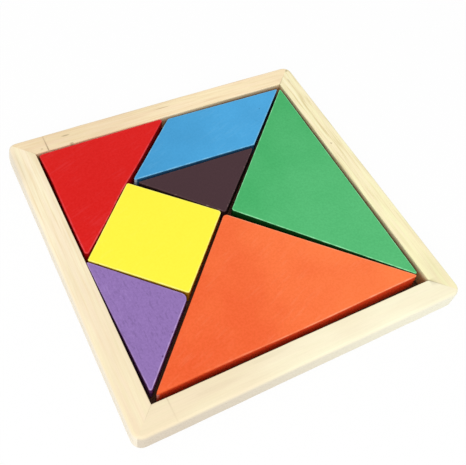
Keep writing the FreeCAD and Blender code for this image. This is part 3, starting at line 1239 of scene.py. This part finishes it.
# Tray


class End(Enum):
    """How a rail ends."""

    MITRE = "cut at 45 degrees into the tray's corner"
    FINGERS = "cut to a zigzag that meets the next piece"


@dataclass(frozen=True)
class Rail:
    """One piece of a rail, described as part of the front rail and then turned to its side.

    Attributes:
        name: the node that it stands for.
        turn: the side that it lies on, in degrees from the front.
        start: its end towards -X, before it is turned.
        stop: its end towards +X, before it is turned.
        wood: its finish.
        seed: picks its unevenness.
        joint_side: -1 or 1, the side of the finger joint before the turn.
        seams: how dark the seams at its start and its stop are.
        lean: how far the upper part of its outer side is sanded in at the tray's corners, at its
            start and at its stop, in millimetres.
        lean_fade: the power with which the lean fades along the rail.
    """

    name: str
    turn: float
    start: End
    stop: End
    wood: PineFinish
    seed: int
    joint_side: int = -1
    seams: tuple[float, float] = (0.3, 0.3)
    lean: tuple[float, float] = (0.0, 0.0)
    lean_fade: float = 1.5


@dataclass(frozen=True)
class Lattice:
    """The points of a rail, before it is turned to its side: one section after the other.

    Attributes:
        along: (sections, points) places along the rail, in millimetres.
        away: (sections, points) distances from the tray's middle, outwards.
        height: (sections, points) heights.
    """

    along: np.ndarray
    away: np.ndarray
    height: np.ndarray

    def places(self) -> np.ndarray:
        """(sections, points, 3) places in the front rail."""
        return np.stack([self.along, -self.away, self.height], axis=-1)


@dataclass
class Tray:
    """The tray: mitred rails round a base board. All sizes are in millimetres.

    Attributes:
        outer: half its outer side.
        inner: half its opening.
        height: the height of a rail.
        board_top: the height of the base board's upper face, and so of the rebate.
        rails: the pieces of its rails.
        corner_round: the radius of its outer corners, seen from above.
        top_round: the radius of a rail's upper outer edge.
        bottom_round: the radius of its lower outer edge.
        arris_round: the radius of its upper inner edge.
        rebate_depth: how far the rebate reaches outwards from the inner side.
        seam_distance: how far the finger joint's tips are from the outer side of the left rail.
        finger_length: the length of a finger.
        finger_count: how many fingers lie over each other.
        finger_tip: the width of a finger's blunt tip.
        round_steps: how many steps a section's round has.
        columns: how many points a section has across.
        mitre_steps: how far the sections near a mitre are from it, as shares of the way into the
            corner.
        run_steps: how far the first sections of the straight run between a rail's ends are from
            where it starts, as are the last ones from where it stops.
        straight_share: the share of the way into a corner that goes straight, before it turns round
            the centre of the rounded corner.
        waviness: how deep the waver of its sides is.
        side_waves: the fewest and the most waves of its sides in one round of the ripple.
        upper_waves: the same of its upper face.
        ripple_length: the length of rail that one round of the ripple is laid over.
        waver_foot: how far above the base board the inner side begins to waver.
        joint_dip: how far the wood sinks at a seam that is fully dark.
        dip_reach: how far from a seam it sinks.
        stain_reach: how far from a seam the glue has stained it.
        mitre_fade: how much a mitre's seam has faded by the outer side, above 1 where it ends sooner.
        finger_fade: the same of a finger joint's seam.
        lean_reach: how far past its middle a rail begins to lean, as a share of half its length.
        side_line: how far below the upper face the look of the sawn outer side is reached.
        shade_depth: how far below it the painted shade of the inner side is full.
        outer_slope: how quickly the look of the outer side sets in, per width of a rail.
        inner_shade_slope: how quickly the painted shade of the inner side sets in, per width of a rail.
    """

    outer: float
    inner: float
    height: float
    board_top: float
    rails: tuple[Rail, ...]

    corner_round: float = 3.5
    top_round: float = 1.3
    bottom_round: float = 0.8
    arris_round: float = 0.3
    rebate_depth: float = 3.0
    seam_distance: float = 12.9
    finger_length: float = 5.0
    finger_count: int = 3
    finger_tip: float = 0.4
    round_steps: int = 8
    columns: int = 7
    mitre_steps: tuple[float, ...] = (0.0, 0.006, 0.016, 0.035, 0.07, 0.13, 0.2, 0.28, 0.36, 0.45, 0.6, 0.8)
    run_steps: tuple[float, ...] = (0.0, 0.06, 0.14, 0.26, 0.5)
    straight_share: float = 0.55
    waviness: float = 0.09
    side_waves: tuple[int, int] = (3, 30)
    upper_waves: tuple[int, int] = (4, 24)
    ripple_length: float = 240.0
    waver_foot: float = 1.0
    joint_dip: float = 0.12
    dip_reach: float = 0.16
    stain_reach: float = 0.2
    mitre_fade: float = 1.6
    finger_fade: float = 0.8
    lean_reach: float = 0.6
    side_line: float = 0.7
    shade_depth: float = 2.4
    outer_slope: float = 10.0
    inner_shade_slope: float = 12.0

    def finger_knots(self) -> tuple[np.ndarray, np.ndarray]:
        """The zigzag of the finger joint, from the bottom up.

        Returns:
            The heights of its bends, and how far each is along the fingers, from 0 to 1.
        """
        pitch = self.height / self.finger_count
        tip = self.finger_tip / 2
        one = np.array([tip, pitch / 2 - tip, pitch / 2 + tip, pitch - tip])
        heights = (np.arange(self.finger_count)[:, None] * pitch + one).ravel()
        return heights, np.tile([0.0, 1.0, 1.0, 0.0], self.finger_count)

    def levels(self) -> np.ndarray:
        """The heights at which the section has points: closer on the rounds, and at every bend.

        Returns:
            The heights, from the bottom up.
        """
        turns = 1 - np.sin(np.linspace(0, math.pi / 2, self.round_steps + 1))
        parts = [
            self.bottom_round * turns,
            self.height - self.top_round * turns,
            self.height - self.arris_round * turns[::2],
            np.array([self.board_top]),
            self.finger_knots()[0],
        ]
        return np.unique(np.concatenate(parts).round(5))

    def section(self) -> tuple[np.ndarray, np.ndarray, int]:
        """The rail's section as a lattice of levels and columns.

        The outer column follows the two rounds, each a quarter circle, and the inner column the
        small arris round. The second column runs along the side of the rebate.

        Returns:
            (levels, columns) distances from the tray's middle, like heights, and the number of the
            level at the top of the rebate.
        """
        levels = self.levels()
        low = np.maximum(self.bottom_round - levels, 0)
        high = np.maximum(levels - self.height + self.top_round, 0)
        lip = np.maximum(levels - self.height + self.arris_round, 0)
        outer = self.outer - (self.bottom_round - np.sqrt(self.bottom_round**2 - low**2))
        outer = outer - (self.top_round - np.sqrt(np.maximum(self.top_round**2 - high**2, 0)))
        inner = self.inner + self.arris_round - np.sqrt(np.maximum(self.arris_round**2 - lip**2, 0))
        rebate = np.full(levels.size, self.inner + self.rebate_depth)
        share = np.linspace(0, 1, self.columns - 1)
        out = np.column_stack([inner, rebate[:, None] * (1 - share) + outer[:, None] * share])
        up = np.repeat(levels[:, None], self.columns, axis=1)
        return out, up, int(np.argmin(np.abs(levels - self.board_top)))

    def loop(self, rows: int, rebate: int) -> np.ndarray:
        """The section's edge, once round, as numbers of lattice points.

        Args:
            rows: how many levels the lattice has.
            rebate: the level at the top of the rebate.

        Returns:
            The numbers: out over the underside, up the outer side, in over the top, and down the
            inner side and the rebate.
        """
        last = self.columns - 1
        walk = (
            [(0, column) for column in range(1, self.columns)]
            + [(row, last) for row in range(1, rows)]
            + [(rows - 1, column) for column in range(last - 1, -1, -1)]
            + [(row, 0) for row in range(rows - 2, rebate - 1, -1)]
            + [(row, 1) for row in range(rebate, 0, -1)]
        )
        return np.array([row * self.columns + column for row, column in walk])

    def joint_at(self, side: int, up: np.ndarray) -> np.ndarray:
        """Where the finger joint is at a height, along a rail.

        Args:
            side: -1 or 1, the side that the joint is on.
            up: heights.

        Returns:
            Places along the rail.
        """
        heights, along = self.finger_knots()
        reach = np.interp(up, heights, along) * self.finger_length
        return side * (self.outer - self.seam_distance - reach)

    def mitre_way(self, out: np.ndarray, share: np.ndarray) -> tuple[np.ndarray, np.ndarray]:
        """The way of the wood into a mitred corner.

        A point goes straight on to the mitre, except past the centre of the tray's rounded corner,
        where it goes straight to that centre and then round it by 45 degrees.

        Args:
            out: distances from the tray's middle, outwards.
            share: how far along the way, from 0 at the level of the opening's end to 1.

        Returns:
            Places along the rail and distances from the tray's middle, as (share, point) arrays.
        """
        centre = self.outer - self.corner_round
        share = share[:, None]
        out = out[None, :]
        straight = self.inner + share * (out - self.inner)
        run = self.inner + np.minimum(share / self.straight_share, 1) * (centre - self.inner)
        round_share = np.maximum(share - self.straight_share, 0) / (1 - self.straight_share)
        angle = round_share * math.pi / 4
        radius = np.maximum(out - centre, 0)
        round_along = run + radius * np.sin(angle)
        round_out = centre + radius * np.cos(angle)
        past = out > centre
        return np.where(past, round_along, straight), np.where(past, round_out, out + 0 * share)

    def fresh(self, rail: Rail, out: np.ndarray, up: np.ndarray) -> Lattice:
        """A rail's section carried from one end to the other, before any wear.

        Between the two ends a point goes straight on. At a mitre the way into the corner follows.

        Args:
            rail: the piece.
            out: (points,) the section's distances from the tray's middle.
            up: (points,) its heights.

        Returns:
            The lattice.
        """
        ways = []
        for side, kind in ((-1, rail.start), (1, rail.stop)):
            if kind is End.MITRE:
                along, away = self.mitre_way(out, 1 - np.array(self.mitre_steps)[::-1])
                ways.append((side * along, away, np.full(up.size, side * self.inner)))
            else:
                nothing = np.empty((0, up.size))
                ways.append((nothing, nothing, self.joint_at(rail.joint_side, up)))
        (start_along, start_away, first), (stop_along, stop_away, last) = ways
        length = float(np.abs(last - first).max())
        close = np.array(self.run_steps) / length
        even = np.linspace(1.0 / length, 1 - 1.0 / length, int(length))
        share = np.concatenate([close, even, 1 - close[::-1]])[:, None]
        middle = first + share * (last - first)
        along = np.concatenate([start_along[::-1], middle, stop_along])
        away = np.concatenate([start_away[::-1], out + 0 * middle, stop_away])
        return Lattice(along, away, up + 0 * along)

    def across(self, lattice: Lattice) -> np.ndarray:
        """How far points are across a rail, from 0 at its inner side to 1 at its outer side."""
        return (lattice.away - self.inner) / (self.outer - self.inner)

    def past_centre(self, lattice: Lattice) -> tuple[np.ndarray, np.ndarray]:
        """How far points are past the centre of a rounded corner of the tray.

        Args:
            lattice: a rail's points.

        Returns:
            The distances along the rail and outwards, 0 short of the centre.
        """
        centre = self.outer - self.corner_round
        along = np.maximum(np.abs(lattice.along) - centre, 0)
        return along, np.maximum(lattice.away - centre, 0)

    def seamed(self, rail: Rail, lattice: Lattice, reach: float) -> np.ndarray:
        """How much points have of the seams at a rail's ends.

        It is a bell curve over the distance from the end's face, and fades evenly outwards.

        Args:
            rail: the piece.
            lattice: its points.
            reach: the reach of the bell curve.

        Returns:
            Amounts from 0 to 1, in the shape of the lattice.
        """
        joint = self.joint_at(rail.joint_side, lattice.height)
        amount = np.zeros_like(lattice.along)
        for side, kind, seam in zip((-1, 1), (rail.start, rail.stop), rail.seams):
            if kind is End.MITRE:
                distance, fade = (lattice.away - side * lattice.along) / math.sqrt(2), self.mitre_fade
            else:
                distance, fade = np.abs(lattice.along - joint), self.finger_fade
            amount += seam * np.clip(1 - self.across(lattice) * fade, 0, 1) * bump(distance, reach)
        return amount

    def leant(self, rail: Rail, along: np.ndarray) -> np.ndarray:
        """How far the outer side is sanded in along a rail: a power of the way to each corner.

        Args:
            rail: the piece.
            along: places along the rail.

        Returns:
            The depths at its upper edge.
        """
        depth = np.zeros_like(along)
        for side, lean in zip((-1, 1), rail.lean):
            way = (side * along / self.outer + self.lean_reach) / (1 + self.lean_reach)
            depth = depth + lean * np.clip(way, 0, 1) ** rail.lean_fade
        return depth

    def worn(self, rail: Rail, fresh: Lattice) -> Lattice:
        """A rail's points after sanding and use.

        Its sides and its upper face waver by ripples that only take wood away, sink a little near
        a seam, and the upper part of its outer side leans in, towards the centre of the tray's
        rounded corner where it goes round it.

        Args:
            rail: the piece.
            fresh: its points before any wear.

        Returns:
            The worn points.
        """
        across = self.across(fresh)
        outer_part = np.clip(across * 2 - 1, 0, 1)
        inner_part = np.clip(1 - across * 2, 0, 1) * (fresh.height > self.board_top + self.waver_foot)
        upper_part = np.clip(fresh.height / self.height * 2 - 1, 0, 1)
        place = fresh.along / self.ripple_length + 0.5
        outer_waver = self.waviness * (1 + ripple(place, rail.seed, self.side_waves)) / 2
        inner_waver = self.waviness * (1 + ripple(place, rail.seed + 1, self.side_waves)) / 2
        upper_waver = self.waviness * (1 + ripple(place, rail.seed + 2, self.upper_waves)) / 4
        dip = self.joint_dip * self.seamed(rail, fresh, self.dip_reach)
        leant = self.leant(rail, fresh.along) * outer_part * upper_part
        bend = np.arctan2(*self.past_centre(fresh))
        taken = outer_part * (outer_waver + dip) - inner_part * (inner_waver + dip)
        return Lattice(
            fresh.along - np.sign(fresh.along) * leant * np.sin(bend),
            fresh.away - taken - leant * np.cos(bend),
            fresh.height - upper_part * (upper_waver + dip),
        )

    def marks(self, rail: Rail, fresh: Lattice, worn: Lattice) -> dict[str, np.ndarray]:
        """What is painted on a rail: the stain of its joints, the look of its outer side and the painted
        shade of its inner side.

        Each side's look sets in evenly over the last part of the way across, and evenly downwards
        from the upper face.

        Args:
            rail: the piece.
            fresh: its points before any wear.
            worn: its points after it.

        Returns:
            Amounts from 0 to 1, in the shape of the lattice.
        """
        around = np.minimum(fresh.away, self.outer - self.corner_round) + np.hypot(*self.past_centre(fresh))
        outer_side = 1 + (around - self.outer) / (self.outer - self.inner) * self.outer_slope
        inner_shade = 1 - self.across(fresh) * self.inner_shade_slope
        below = self.height - worn.height
        return {
            "joint": self.seamed(rail, fresh, self.stain_reach),
            "outer_side": np.clip(outer_side, 0, 1) * np.clip(below / self.side_line, 0, 1),
            # Painted shade: the inner side darkens downwards.
            "inner_shade": np.clip(inner_shade, 0, 1) * np.clip(below / self.shade_depth, 0, 1),
        }

    def sweep(self, rail: Rail) -> Surface:
        """The rail's skin: its section carried from one end to the other, and closed at both.

        Args:
            rail: the piece.

        Returns:
            The surface, turned to its side of the tray.
        """
        out, up, rebate = self.section()
        rows = len(up)
        fresh = self.fresh(rail, out.ravel(), up.ravel())
        worn = self.worn(rail, fresh)
        edge = self.loop(rows, rebate)
        sections = worn.places()
        body = sections[:, edge].reshape(-1, 3)
        points = np.concatenate([body, sections[0], sections[-1]])

        skin = grid_faces(len(sections), edge.size, closed=True)[:, ::-1]
        cells = grid_faces(rows, self.columns, closed=False).reshape(rows - 1, self.columns - 1, 4)
        solid = np.ones(cells.shape[:2], bool)
        solid[:rebate, 0] = False
        start_cap = cells[solid][:, ::-1] + len(body)
        stop_cap = cells[solid] + len(body) + out.size
        faces = np.concatenate([skin, start_cap, stop_cap])
        marks = {
            mark: np.concatenate([amounts[:, edge].ravel(), amounts[0], amounts[-1]])
            for mark, amounts in self.marks(rail, fresh, worn).items()
        }
        angle = math.radians(rail.turn)
        turned = np.array([(math.cos(angle), math.sin(angle)), (-math.sin(angle), math.cos(angle))])
        points[:, :2] = points[:, :2] @ turned
        return Surface(points, faces.tolist(), marks)

    def build(self, board_finish: HardboardFinish) -> None:
        """Builds and dresses every rail, and dresses the base board of the frame.

        Args:
            board_finish: the base board's finish.
        """
        middle = ((self.outer + self.inner) / 2, self.height / 2)
        for rail in self.rails:
            piece = self.sweep(rail).to_object(f"{rail.name}_wood")
            seat(piece, rail.wood.material(middle, self.height, 2 * self.outer), rail.name)
        board = bpy.data.objects["base_board"]
        board.data.materials.clear()
        board.data.materials.append(board_finish.material())
        LOG.info("base_board: dressed")


# Studio


@dataclass
class Studio:
    """The pale floor, the soft light and the camera.

    Attributes:
        focal_pixels: the camera's focal length, in pixels of the image.
        camera_place: where the camera is, in metres.
        heading: where it looks, in degrees from +Y towards +X.
        dip: how far it looks down, in degrees.
        roll: how far its right side is raised, in degrees.
        sensor: the width of its sensor, in millimetres.
        sky: the strength of the even light from all round.
        key_power: the power of the large lamp, in watts.
        key_place: where the lamp is, in metres. It faces the puzzle.
        key_size: the side of the lamp, in metres.
        floor_side: the side of the floor, in metres.
        floor_gap: how far the floor is below the tray, in metres.
        floor_white: how much of the floor's look is plain white to the camera.
        floor_greys: the two greys that the floor's own colour drifts between.
        floor_grain: how fine that drift is, in cells a metre.
    """

    focal_pixels: float = 662.5
    camera_place: tuple[float, float, float] = (-0.07773, -0.10859, 0.18633)
    heading: float = 36.91
    dip: float = 54.54
    roll: float = 11.29
    sensor: float = 36.0
    sky: float = 0.82
    key_power: float = 2.0
    key_place: tuple[float, float, float] = (-0.36, -0.42, 0.50)
    key_size: float = 0.45
    floor_side: float = 6.0
    floor_gap: float = 0.0001
    floor_white: float = 0.93
    floor_greys: tuple[float, float] = (0.9, 0.93)
    floor_grain: float = 3.0

    def camera(self) -> None:
        """Places the camera by its heading, dip and roll."""
        heading, dip, roll = (math.radians(a) for a in (self.heading, self.dip, self.roll))
        forward = Vector((
            math.sin(heading) * math.cos(dip), math.cos(heading) * math.cos(dip), -math.sin(dip),
        ))
        level = Vector((math.cos(heading), -math.sin(heading), 0.0))
        upright = level.cross(forward)
        right = level * math.cos(roll) + upright * math.sin(roll)
        above = right.cross(forward)
        data = bpy.data.cameras.new("photo_camera")
        data.sensor_width = self.sensor
        data.lens = self.focal_pixels / IMAGE_WIDTH * self.sensor
        data.clip_start = 0.01
        camera = bpy.data.objects.new("photo_camera", data)
        turned = Matrix((right, above, -forward)).transposed().to_4x4()
        camera.matrix_world = Matrix.Translation(self.camera_place) @ turned
        bpy.context.scene.collection.objects.link(camera)
        bpy.context.scene.camera = camera

    def floor(self) -> None:
        """Lays a pale floor that looks white to the camera and keeps a soft shadow."""
        half = self.floor_side / 2
        mesh = bpy.data.meshes.new("floor")
        corners = [(-half, -half), (half, -half), (half, half), (-half, half)]
        mesh.from_pydata([(x, y, -self.floor_gap) for x, y in corners], [], [(0, 1, 2, 3)])
        floor = bpy.data.objects.new("floor", mesh)
        bpy.context.scene.collection.objects.link(floor)
        sheet = NodeSheet("floor_white")
        here = sheet.place()
        greys = ((grey, grey, grey, 1.0) for grey in self.floor_greys)
        tint = sheet.mix(sheet.noise(here, self.floor_grain), *greys)
        plain = sheet.add("ShaderNodeBsdfDiffuse", {"Color": tint}).outputs[0]
        white = sheet.add("ShaderNodeEmission", {"Color": (1, 1, 1, 1), "Strength": 1.0}).outputs[0]
        mixed = sheet.add("ShaderNodeMixShader", {0: self.floor_white, 1: plain, 2: white}).outputs[0]
        seen = self.seen_straight(sheet.tree)
        both = sheet.add("ShaderNodeMixShader", {0: seen, 1: plain, 2: mixed}).outputs[0]
        sheet.tree.links.new(both, sheet.output.inputs["Surface"])
        mesh.materials.append(sheet.material)

    @staticmethod
    def seen_straight(tree: bpy.types.NodeTree) -> bpy.types.NodeSocket:
        """1 for the rays that see the background: from the camera, a reflection or through glass.

        Args:
            tree: the node tree that the nodes go into.

        Returns:
            The value socket.
        """
        path = tree.nodes.new("ShaderNodeLightPath").outputs
        found = path["Is Camera Ray"]
        for ray in ("Is Glossy Ray", "Is Transmission Ray"):
            larger = tree.nodes.new("ShaderNodeMath")
            larger.operation = "MAXIMUM"
            tree.links.new(found, larger.inputs[0])
            tree.links.new(path[ray], larger.inputs[1])
            found = larger.outputs[0]
        return found

    def light(self) -> None:
        """Sets the even light of the world and hangs one large soft lamp."""
        world = bpy.data.worlds.new("studio")
        bpy.context.scene.world = world
        world.use_nodes = True
        tree = world.node_tree
        tree.nodes.clear()
        seen = self.seen_straight(tree)
        strength = tree.nodes.new("ShaderNodeMapRange")
        tree.links.new(seen, strength.inputs["Value"])
        strength.inputs["To Min"].default_value = self.sky
        strength.inputs["To Max"].default_value = 1.0
        background = tree.nodes.new("ShaderNodeBackground")
        background.inputs["Color"].default_value = (1, 1, 1, 1)
        tree.links.new(strength.outputs["Result"], background.inputs["Strength"])
        output = tree.nodes.new("ShaderNodeOutputWorld")
        tree.links.new(background.outputs["Background"], output.inputs["Surface"])

        lamp = bpy.data.lights.new("key_lamp", "AREA")
        lamp.energy = self.key_power
        lamp.size = self.key_size
        key = bpy.data.objects.new("key_lamp", lamp)
        key.location = self.key_place
        key.rotation_mode = "QUATERNION"
        key.rotation_quaternion = (-Vector(self.key_place)).to_track_quat("-Z", "Y")
        bpy.context.scene.collection.objects.link(key)

    def build(self) -> None:
        """Sets up the whole studio."""
        bpy.context.scene.view_settings.view_transform = "Standard"
        self.floor()
        self.light()
        self.camera()
        LOG.info("studio: ready")


# The puzzle


def tray_rails() -> tuple[Rail, ...]:
    """The six pieces of the tray's rails, each with its own wood.

    Returns:
        The rails.
    """
    # In each wood, inside is painted shade for the lower part of the inner side.
    back_wood = PineFinish(
        "pine_back", turn=180.0, near=screen(252, 231, 191), far=screen(236, 213, 175),
        band=screen(222, 190, 142), sawn=(screen(210, 196, 172), screen(210, 196, 176)),
        inside=screen(186, 142, 102), pitch=2.2, pith=(-26.0, 30.0), taper=3.0, wander=1.2,
        contrast=0.15, streaks=0.3, hues=0.006, log=120.0, flecks=(
            Fleck(37.1, 53.7, 1.6, 0.35, 0.45), Fleck(36.3, 49.5, 0.8, 0.35, 0.5),
            Fleck(46.6, 50.6, 0.5, 0.35, 0.3), Fleck(-0.5, 53.9, 3.0, 0.2, 0.4),
        ),
    )
    left_wood = PineFinish(
        "pine_left", turn=-90.0, near=screen(250, 236, 203), far=screen(240, 222, 187),
        band=screen(230, 206, 158), sawn=(screen(236, 226, 206), screen(236, 226, 206)),
        pitch=1.9, pith=(24.0, 6.0), taper=1.5, wander=0.9, line=0.62, contrast=0.6, streaks=0.4,
        rise=(1.0, 0.25), hues=0.008, log=40.0, flecks=(Fleck(-46.0, 56.3, 9.0, 1.6, 0.12),),
    )
    # Painted light: near, far and the sawn pair make the front rail paler towards its stop, on its upper
    # face and its outer side.
    front_wood = PineFinish(
        "pine_front", turn=0.0, near=screen(240, 224, 190), far=screen(254, 249, 218),
        band=screen(232, 208, 168), sawn=(screen(209, 197, 178), screen(238, 234, 212)),
        pitch=3.4, pith=(-18.0, 40.0), taper=3.0, wander=1.0, contrast=0.3, streaks=0.15,
        rise=(0.25, 0.12), hues=0.004, log=200.0,
        flecks=(Fleck(-30.0, 52.5, 9.0, 1.2, 0.05), Fleck(-12.0, 50.5, 7.0, 0.8, 0.06)),
    )
    right_wood = PineFinish(
        "pine_right", turn=90.0, near=screen(251, 242, 196), far=screen(250, 239, 196),
        band=screen(214, 194, 142), sawn=(screen(246, 238, 196), screen(246, 238, 210)),
        pitch=1.7, pith=(9.0, -14.0), taper=6.0, wander=0.6, line=0.4, contrast=0.3, streaks=0.8,
        rise=(0.15, 1.0), hues=0.012, log=75.0, flecks=(
            Fleck(14.5, 51.5, 0.5, 0.35, 0.5), Fleck(55.0, 55.5, 0.6, 0.6, 0.5),
            Fleck(49.6, 53.6, 1.4, 0.4, 0.2), Fleck(-48.0, 53.6, 9.0, 3.6, 0.08),
        ),
    )
    front, right, back, left = (wood.turn for wood in (front_wood, right_wood, back_wood, left_wood))
    corner_lean = 0.75
    return (
        Rail("front_rail", front, End.FINGERS, End.MITRE, front_wood, 11, -1, seams=(0.2, 0.45)),
        Rail("front_rail_end", front, End.MITRE, End.FINGERS, front_wood, 14, -1, seams=(0.02, 0.2)),
        Rail("right_rail", right, End.MITRE, End.MITRE, right_wood, 17, 1, seams=(0.45, 0.1)),
        Rail("back_rail", back, End.MITRE, End.FINGERS, back_wood, 20, 1, seams=(0.1, 0.75),
             lean=(0.0, corner_lean)),
        Rail("back_rail_end", back, End.FINGERS, End.MITRE, back_wood, 23, 1, seams=(0.75, 0.04),
             lean=(0.0, corner_lean)),
        Rail("left_rail", left, End.MITRE, End.MITRE, left_wood, 26, 1, seams=(0.04, 0.02),
             lean=(corner_lean, 0.0), lean_fade=4.0),
    )


def large_and_medium_tans() -> tuple[Tan, ...]:
    """The two large triangles, the medium triangle and the parallelogram, as they lie and are worn.

    Returns:
        The tans.
    """
    # In each paint, the side colour is painted shade, the colour it drifts to a painted sheen, and the
    # rubbed colour wear with a painted highlight. Bare corners add a painted highlight; kept edges take it
    # away.
    large, medium = Leg.LARGE.inradius, Leg.MEDIUM.inradius
    orange = Tan(
        "orange_large_triangle", Form.TRIANGLE, Leg.LARGE, home=(0.0, large - 0.5), turn=0.0, trim=0.30,
        shift=(0.0, 0.90), tip_travel=0.36, radii=(1.4, 0.4, 0.45),
        strays=((-0.10, 0.40), (0.45, 0.02), (-0.40, 0.08)),
        paint=PaintFinish(
            "orange_paint", colour=screen(235, 89, 40), sheen_colour=screen(254, 125, 66),
            rubbed=screen(255, 158, 120), side=screen(252, 80, 38), mottle=0.15,
        ),
        seed=101, wear=(
            Wear(Damage.KEPT_DULL, 1, 0.0, 38.0, 1.0), Wear(Damage.SOFT, 1, 0.0, 25.0, 0.35),
            Wear(Damage.HOLLOW, 1, 0.55, 24.0, -0.35), Wear(Damage.LEAN, 1, 0.94, 34.0, 0.45),
            Wear(Damage.LEAN, 2, 0.0, 0.5, 0.35), Wear(Damage.BARE_SHEEN, 1, 0.0, 0.15, 0.35),
            Wear(Damage.KEPT_DULL, 0, 0.5, 60.0, 1.0), Wear(Damage.SOFT, 2, 0.45, 28.0, 0.2),
        ),
    )
    green = Tan(
        "green_large_triangle", Form.TRIANGLE, Leg.LARGE, home=(0.5 - large, 0.0), turn=90.0, trim=0.57,
        shift=(0.03, 0.47), tip_travel=-0.26, radii=(0.9, 0.5, 0.35),
        strays=((1.04, 0.66), (-0.05, -0.41), (-0.34, 0.0)),
        paint=PaintFinish(
            "green_paint", colour=screen(53, 168, 92), sheen_colour=screen(85, 187, 117),
            rubbed=screen(160, 246, 184), side=screen(6, 70, 24), brushed=0.0, pores=0.15,
            turn=150.0, drift=-45.0,
        ),
        seed=103, edge_round=0.17, side_shade_blend=0.12, rub_sheen_down=0.12,
    )
    red = Tan(
        "red_medium_triangle", Form.TRIANGLE, Leg.MEDIUM, home=(medium - 0.5, 0.5 - medium), turn=45.0,
        trim=0.42, shift=(-0.13, 0.25), tip_travel=0.0, radii=(1.0, 0.9, 0.7),
        strays=((0.05, -0.14), (0.35, 0.60), (1.10, 0.33)),
        paint=PaintFinish(
            "red_paint", colour=screen(215, 18, 12), sheen_colour=screen(220, 18, 16),
            rubbed=screen(232, 84, 92), side=screen(208, 18, 16), mottle=0.12,
        ),
        seed=105, edge_round=0.24, wear=(
            Wear(Damage.HOLLOW, 1, 0.43, 9.0, 0.4), Wear(Damage.HOLLOW, 0, 0.25, 12.0, 0.4),
            Wear(Damage.KEPT_DULL, 1, 1.0, 14.0, 0.8), Wear(Damage.KEPT_DULL, 0, 0.25, 18.0, 0.7),
            Wear(Damage.SOFT, 0, 0.5, 25.0, 0.15),
        ),
    )
    blue = Tan(
        "blue_parallelogram", Form.PARALLELOGRAM, Leg.MEDIUM, home=(1 / 8, 3 / 8), turn=0.0, trim=0.35,
        shift=(-0.06, -0.06), tip_travel=-0.42, radii=(0.35, 1.2, 0.5, 1.0),
        strays=((-0.41, -0.22), (-0.15, -0.30), (0.22, 0.40), (0.33, 0.13)),
        paint=PaintFinish(
            "blue_paint", colour=screen(59, 146, 197), sheen_colour=screen(76, 170, 226),
            rubbed=screen(132, 200, 238), side=screen(44, 96, 138), mottle=0.12,
            dents=(Dent(34.96, 40.53, 0.25, 0.5),),
        ),
        seed=107, edge_round=0.22, side_shade_blend=0.15, rub_sheen_down=0.12,
        wear=(Wear(Damage.BARE_SHEEN, 2, 0.0, 0.2, 0.6), Wear(Damage.BARE_SHEEN, 1, 1.0, 0.3, 0.6)),
    )
    return orange, green, red, blue


def small_tans() -> tuple[Tan, ...]:
    """The square and the two small triangles, as they lie and are worn.

    Returns:
        The tans.
    """
    # In each paint, the side colour is painted shade, the colour it drifts to a painted sheen, and the
    # rubbed colour wear with a painted highlight. Bare corners add a painted highlight; kept edges take it
    # away.
    small = Leg.SMALL.inradius
    yellow = Tan(
        "yellow_square", Form.SQUARE, Leg.SMALL, home=(-1 / 4, 0.0), turn=45.0, trim=0.29,
        shift=(-0.03, 1.12), tip_travel=0.22, radii=(0.8, 0.4, 0.8, 1.0),
        strays=((-0.23, 0.0), (0.02, 0.0), (0.04, -0.07), (0.12, 0.07)),
        paint=PaintFinish(
            "yellow_paint", colour=screen(254, 241, 61), sheen_colour=screen(254, 243, 66),
            rubbed=screen(255, 250, 140), side=screen(196, 140, 20), mottle=0.06, brushed=0.05,
        ),
        seed=109,
    )
    brown = Tan(
        "brown_small_triangle", Form.TRIANGLE, Leg.SMALL, home=(0.0, 1 / 4 - small), turn=180.0,
        trim=0.42, shift=(0.27, 0.25), tip_travel=-0.29, radii=(1.0, 0.45, 0.35),
        strays=((0.0, 0.0), (0.05, 0.08), (0.0, 0.25)),
        paint=PaintFinish(
            "brown_paint", colour=screen(68, 45, 50), sheen_colour=screen(70, 46, 52),
            rubbed=screen(122, 98, 98), side=screen(40, 24, 26), brushed=0.0, rub_sheen_grain=1100.0,
            rub_sheen_range=(0.58, 0.7), rub_sheen_least=0.1,
        ),
        seed=111,
    )
    purple = Tan(
        "purple_small_triangle", Form.TRIANGLE, Leg.SMALL, home=(small - 0.5, -1 / 4), turn=-90.0,
        trim=0.17, shift=(0.15, 1.10), tip_travel=0.22, radii=(2.2, 0.4, 0.6),
        strays=((-0.13, 0.11), (-0.29, 0.60), (0.28, 0.13)),
        paint=PaintFinish(
            "purple_paint", colour=screen(143, 113, 176), sheen_colour=screen(147, 115, 181),
            rubbed=screen(196, 168, 218), side=screen(112, 66, 132), mottle=0.25, pores=0.75, turn=92.0,
            dents=(Dent(-34.54, -31.62, 0.3, 0.8), Dent(-40.4, -37.47, 0.35, 0.8)),
        ),
        seed=113, wear=(Wear(Damage.KEPT_DULL, 1, 0.5, 30.0, 0.8), Wear(Damage.KEPT_DULL, 0, 0.5, 20.0, 0.8)),
    )
    return yellow, brown, purple


def main() -> None:
    """Builds the tray, the tans and the studio round the frame."""
    logging.basicConfig(level=logging.INFO, format="%(message)s")
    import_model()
    inner_low, outer_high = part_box("right_rail")
    tray = Tray(
        outer=outer_high.x / MM, inner=inner_low.x / MM, height=outer_high.z / MM,
        board_top=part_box("base_board")[1].z / MM, rails=tray_rails(),
    )
    # The board is brown, and darker still as painted shade deep in the gaps between the tans.
    tray.build(HardboardFinish("brown_hardboard", screen(80, 47, 29), screen(106, 68, 43)))
    for tan in large_and_medium_tans() + small_tans():
        low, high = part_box(tan.name)
        skin = tan.surface(2 * tray.inner, low.z / MM, high.z / MM)
        seat(skin.to_object(f"{tan.name}_painted"), tan.paint.material(tray.inner), tan.name)
    Studio().build()


if __name__ == "__main__":
    main()
